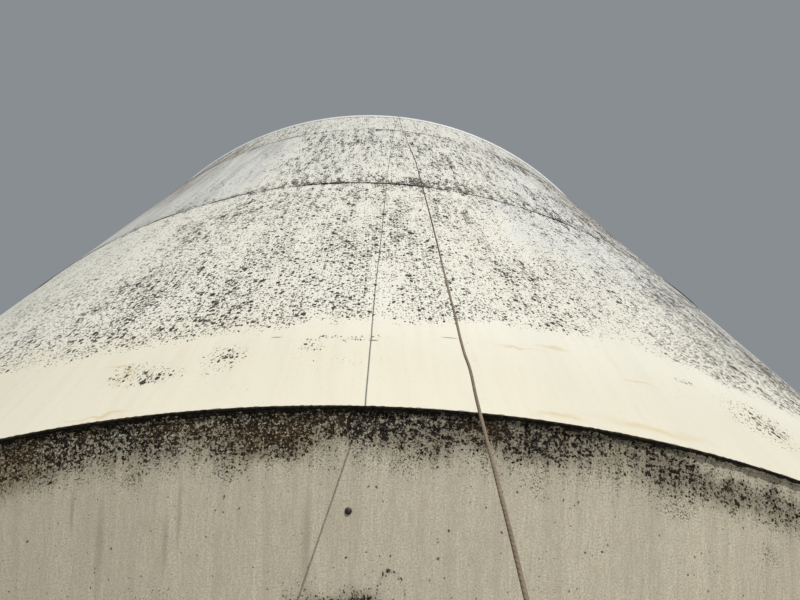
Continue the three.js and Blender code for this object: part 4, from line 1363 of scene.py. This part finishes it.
BRACKETS = [f"ladder_bracket_{k}" for k in range(1, 6)]
BRACKET_FACE = RADIUS + 0.014
BRACKET_BOLT = 0.010
BRACKET_BOLT_OUT = 0.100
RAIL_FACE = LADDER_HALF + 0.0145
RAIL_BOLT = 0.009
LADDER_EDGE = 0.0018
LADDER_WELD = 0.003


def make_ladder(red):
    for node in ("ladder_lower", "ladder_upper", "roof_ladder", "ladder_stay", *BRACKETS):
        eased(node, LADDER_EDGE, red)
    rng = np.random.default_rng(31)
    welds = Shape()
    for node in ("ladder_stay", *BRACKETS):
        weld_edges(welds, node, LADDER_WELD, rng, inner_corner)
    welds.piece("ladder_welds", red, ALL_SMOOTH)


def make_ladder_bolts(zinc):
    outward, side = azimuth_axes(LADDER_AZIMUTH)
    bolts = Shape()
    for node in ("ladder_stay", *BRACKETS):
        middle = UP * (sum(extent(node)[1:]) / 2)
        for across in (-BRACKET_BOLT_OUT, BRACKET_BOLT_OUT):
            if node != "ladder_stay":
                bolts.bolt(outward * BRACKET_FACE + side * across + middle, outward, BRACKET_BOLT)
        for way in (-side, side):
            bolts.bolt(outward * LADDER_OUT + way * RAIL_FACE + middle, way, RAIL_BOLT)
    bolts.piece("ladder_bolts", zinc)


HINGE_HALF = 0.0193
LEVER_EDGE = 0.0012
LEVER_WELD = 0.0022


def make_lever(red):
    for node in ("lid_hinge", "lid_lever", "cord_guide"):
        eased(node, LEVER_EDGE, red)
    rng = np.random.default_rng(41)
    welds = Shape()
    for node in ("lid_hinge", "cord_guide"):
        weld_edges(welds, node, LEVER_WELD, rng, inner_corner)
    welds.piece("lever_welds", red, ALL_SMOOTH)


def make_hinge_pin(zinc):
    """The washers and split pins at both ends of the hinge's pin."""
    washers = Shape()
    side = in_cord_plane(0, 0, 1)
    pin = in_cord_plane(HINGE_OUT, HINGE_Z)
    for direction in (side, -side):
        base = pin + direction * HINGE_HALF
        washers.spindle(base, direction, [(0.015, 0), (0.015, 0.002), (0.014, 0.0026)], 24)
        split_pin = base + direction * 0.0052 - UP * 0.013
        washers.spindle(split_pin, UP, [(0.0014, 0), (0.0014, 0.026)], 8)
    washers.piece("hinge_washers", zinc)


# Floor, light and backdrop

SUN_HEADING = (-0.365, 0.931)
SUN_HEIGHT = math.radians(17.3)
SUN_ENERGY = 3.05
SUN_ANGLE = math.radians(0.25)
SUN_COLOUR = (1.0, 0.97, 0.91)
SKY_COLOUR = (0.86, 0.93, 1.0, 1)
SKY_STRENGTH = 0.29
FLOOR_REACH = 60.0
FLOOR_COLOUR = (0.56, 0.55, 0.53, 1)


def make_stage():
    mesh = bpy.data.meshes.new("floor")
    corners = [(-1, -1), (1, -1), (1, 1), (-1, 1)]
    mesh.from_pydata([(x * FLOOR_REACH, y * FLOOR_REACH, 0) for x, y in corners], [], [(0, 1, 2, 3)])
    floor = placed("floor", mesh)
    finish = bpy.data.materials.new("floor_finish")
    finish.use_nodes = True
    shader = finish.node_tree.nodes["Principled BSDF"]
    shader.inputs["Base Color"].default_value = FLOOR_COLOUR
    shader.inputs["Roughness"].default_value = 0.9
    mesh.materials.append(finish)

    world = bpy.data.worlds.new("studio")
    bpy.context.scene.world = world
    world.use_nodes = True
    sky = world.node_tree.nodes["Background"].inputs
    sky["Color"].default_value = SKY_COLOUR
    sky["Strength"].default_value = SKY_STRENGTH

    light = bpy.data.lights.new("key", "SUN")
    light.energy = SUN_ENERGY
    light.angle = SUN_ANGLE
    light.color = SUN_COLOUR
    key = placed("key", light)
    level = math.cos(SUN_HEIGHT)
    travel = Vector((SUN_HEADING[0] * level, SUN_HEADING[1] * level, -math.sin(SUN_HEIGHT)))
    key.rotation_mode = "QUATERNION"
    key.rotation_quaternion = travel.to_track_quat("-Z", "Y")
    key.location = (3, -8, 6)
    bpy.context.scene.view_settings.view_transform = "Standard"


make_camera()
make_cord(rusty_cord())
make_stage()
wall_finish, cone_finish = wall_paint(), cone_paint()
steel_finish, zinc_finish = red_oxide(), galvanised()
make_wall(wall_finish)
make_rim(rim_crust(), cone_finish)
make_cone(cone_finish)
make_cone_seams(cone_finish)
make_plug(rubber())
make_roof(wall_finish)
make_collar(wall_finish)
make_lid(zinc_finish)
make_outlet(cone_finish, zinc_finish, steel_finish)
make_spout(zinc_finish)
make_outlet_bolts(zinc_finish)
make_outlet_welds(cone_finish)
make_frame(steel_finish)
make_frame_welds(steel_finish)
make_anchor_bolts(zinc_finish)
make_ladder(steel_finish)
make_ladder_bolts(zinc_finish)
make_lever(steel_finish)
make_hinge_pin(zinc_finish)
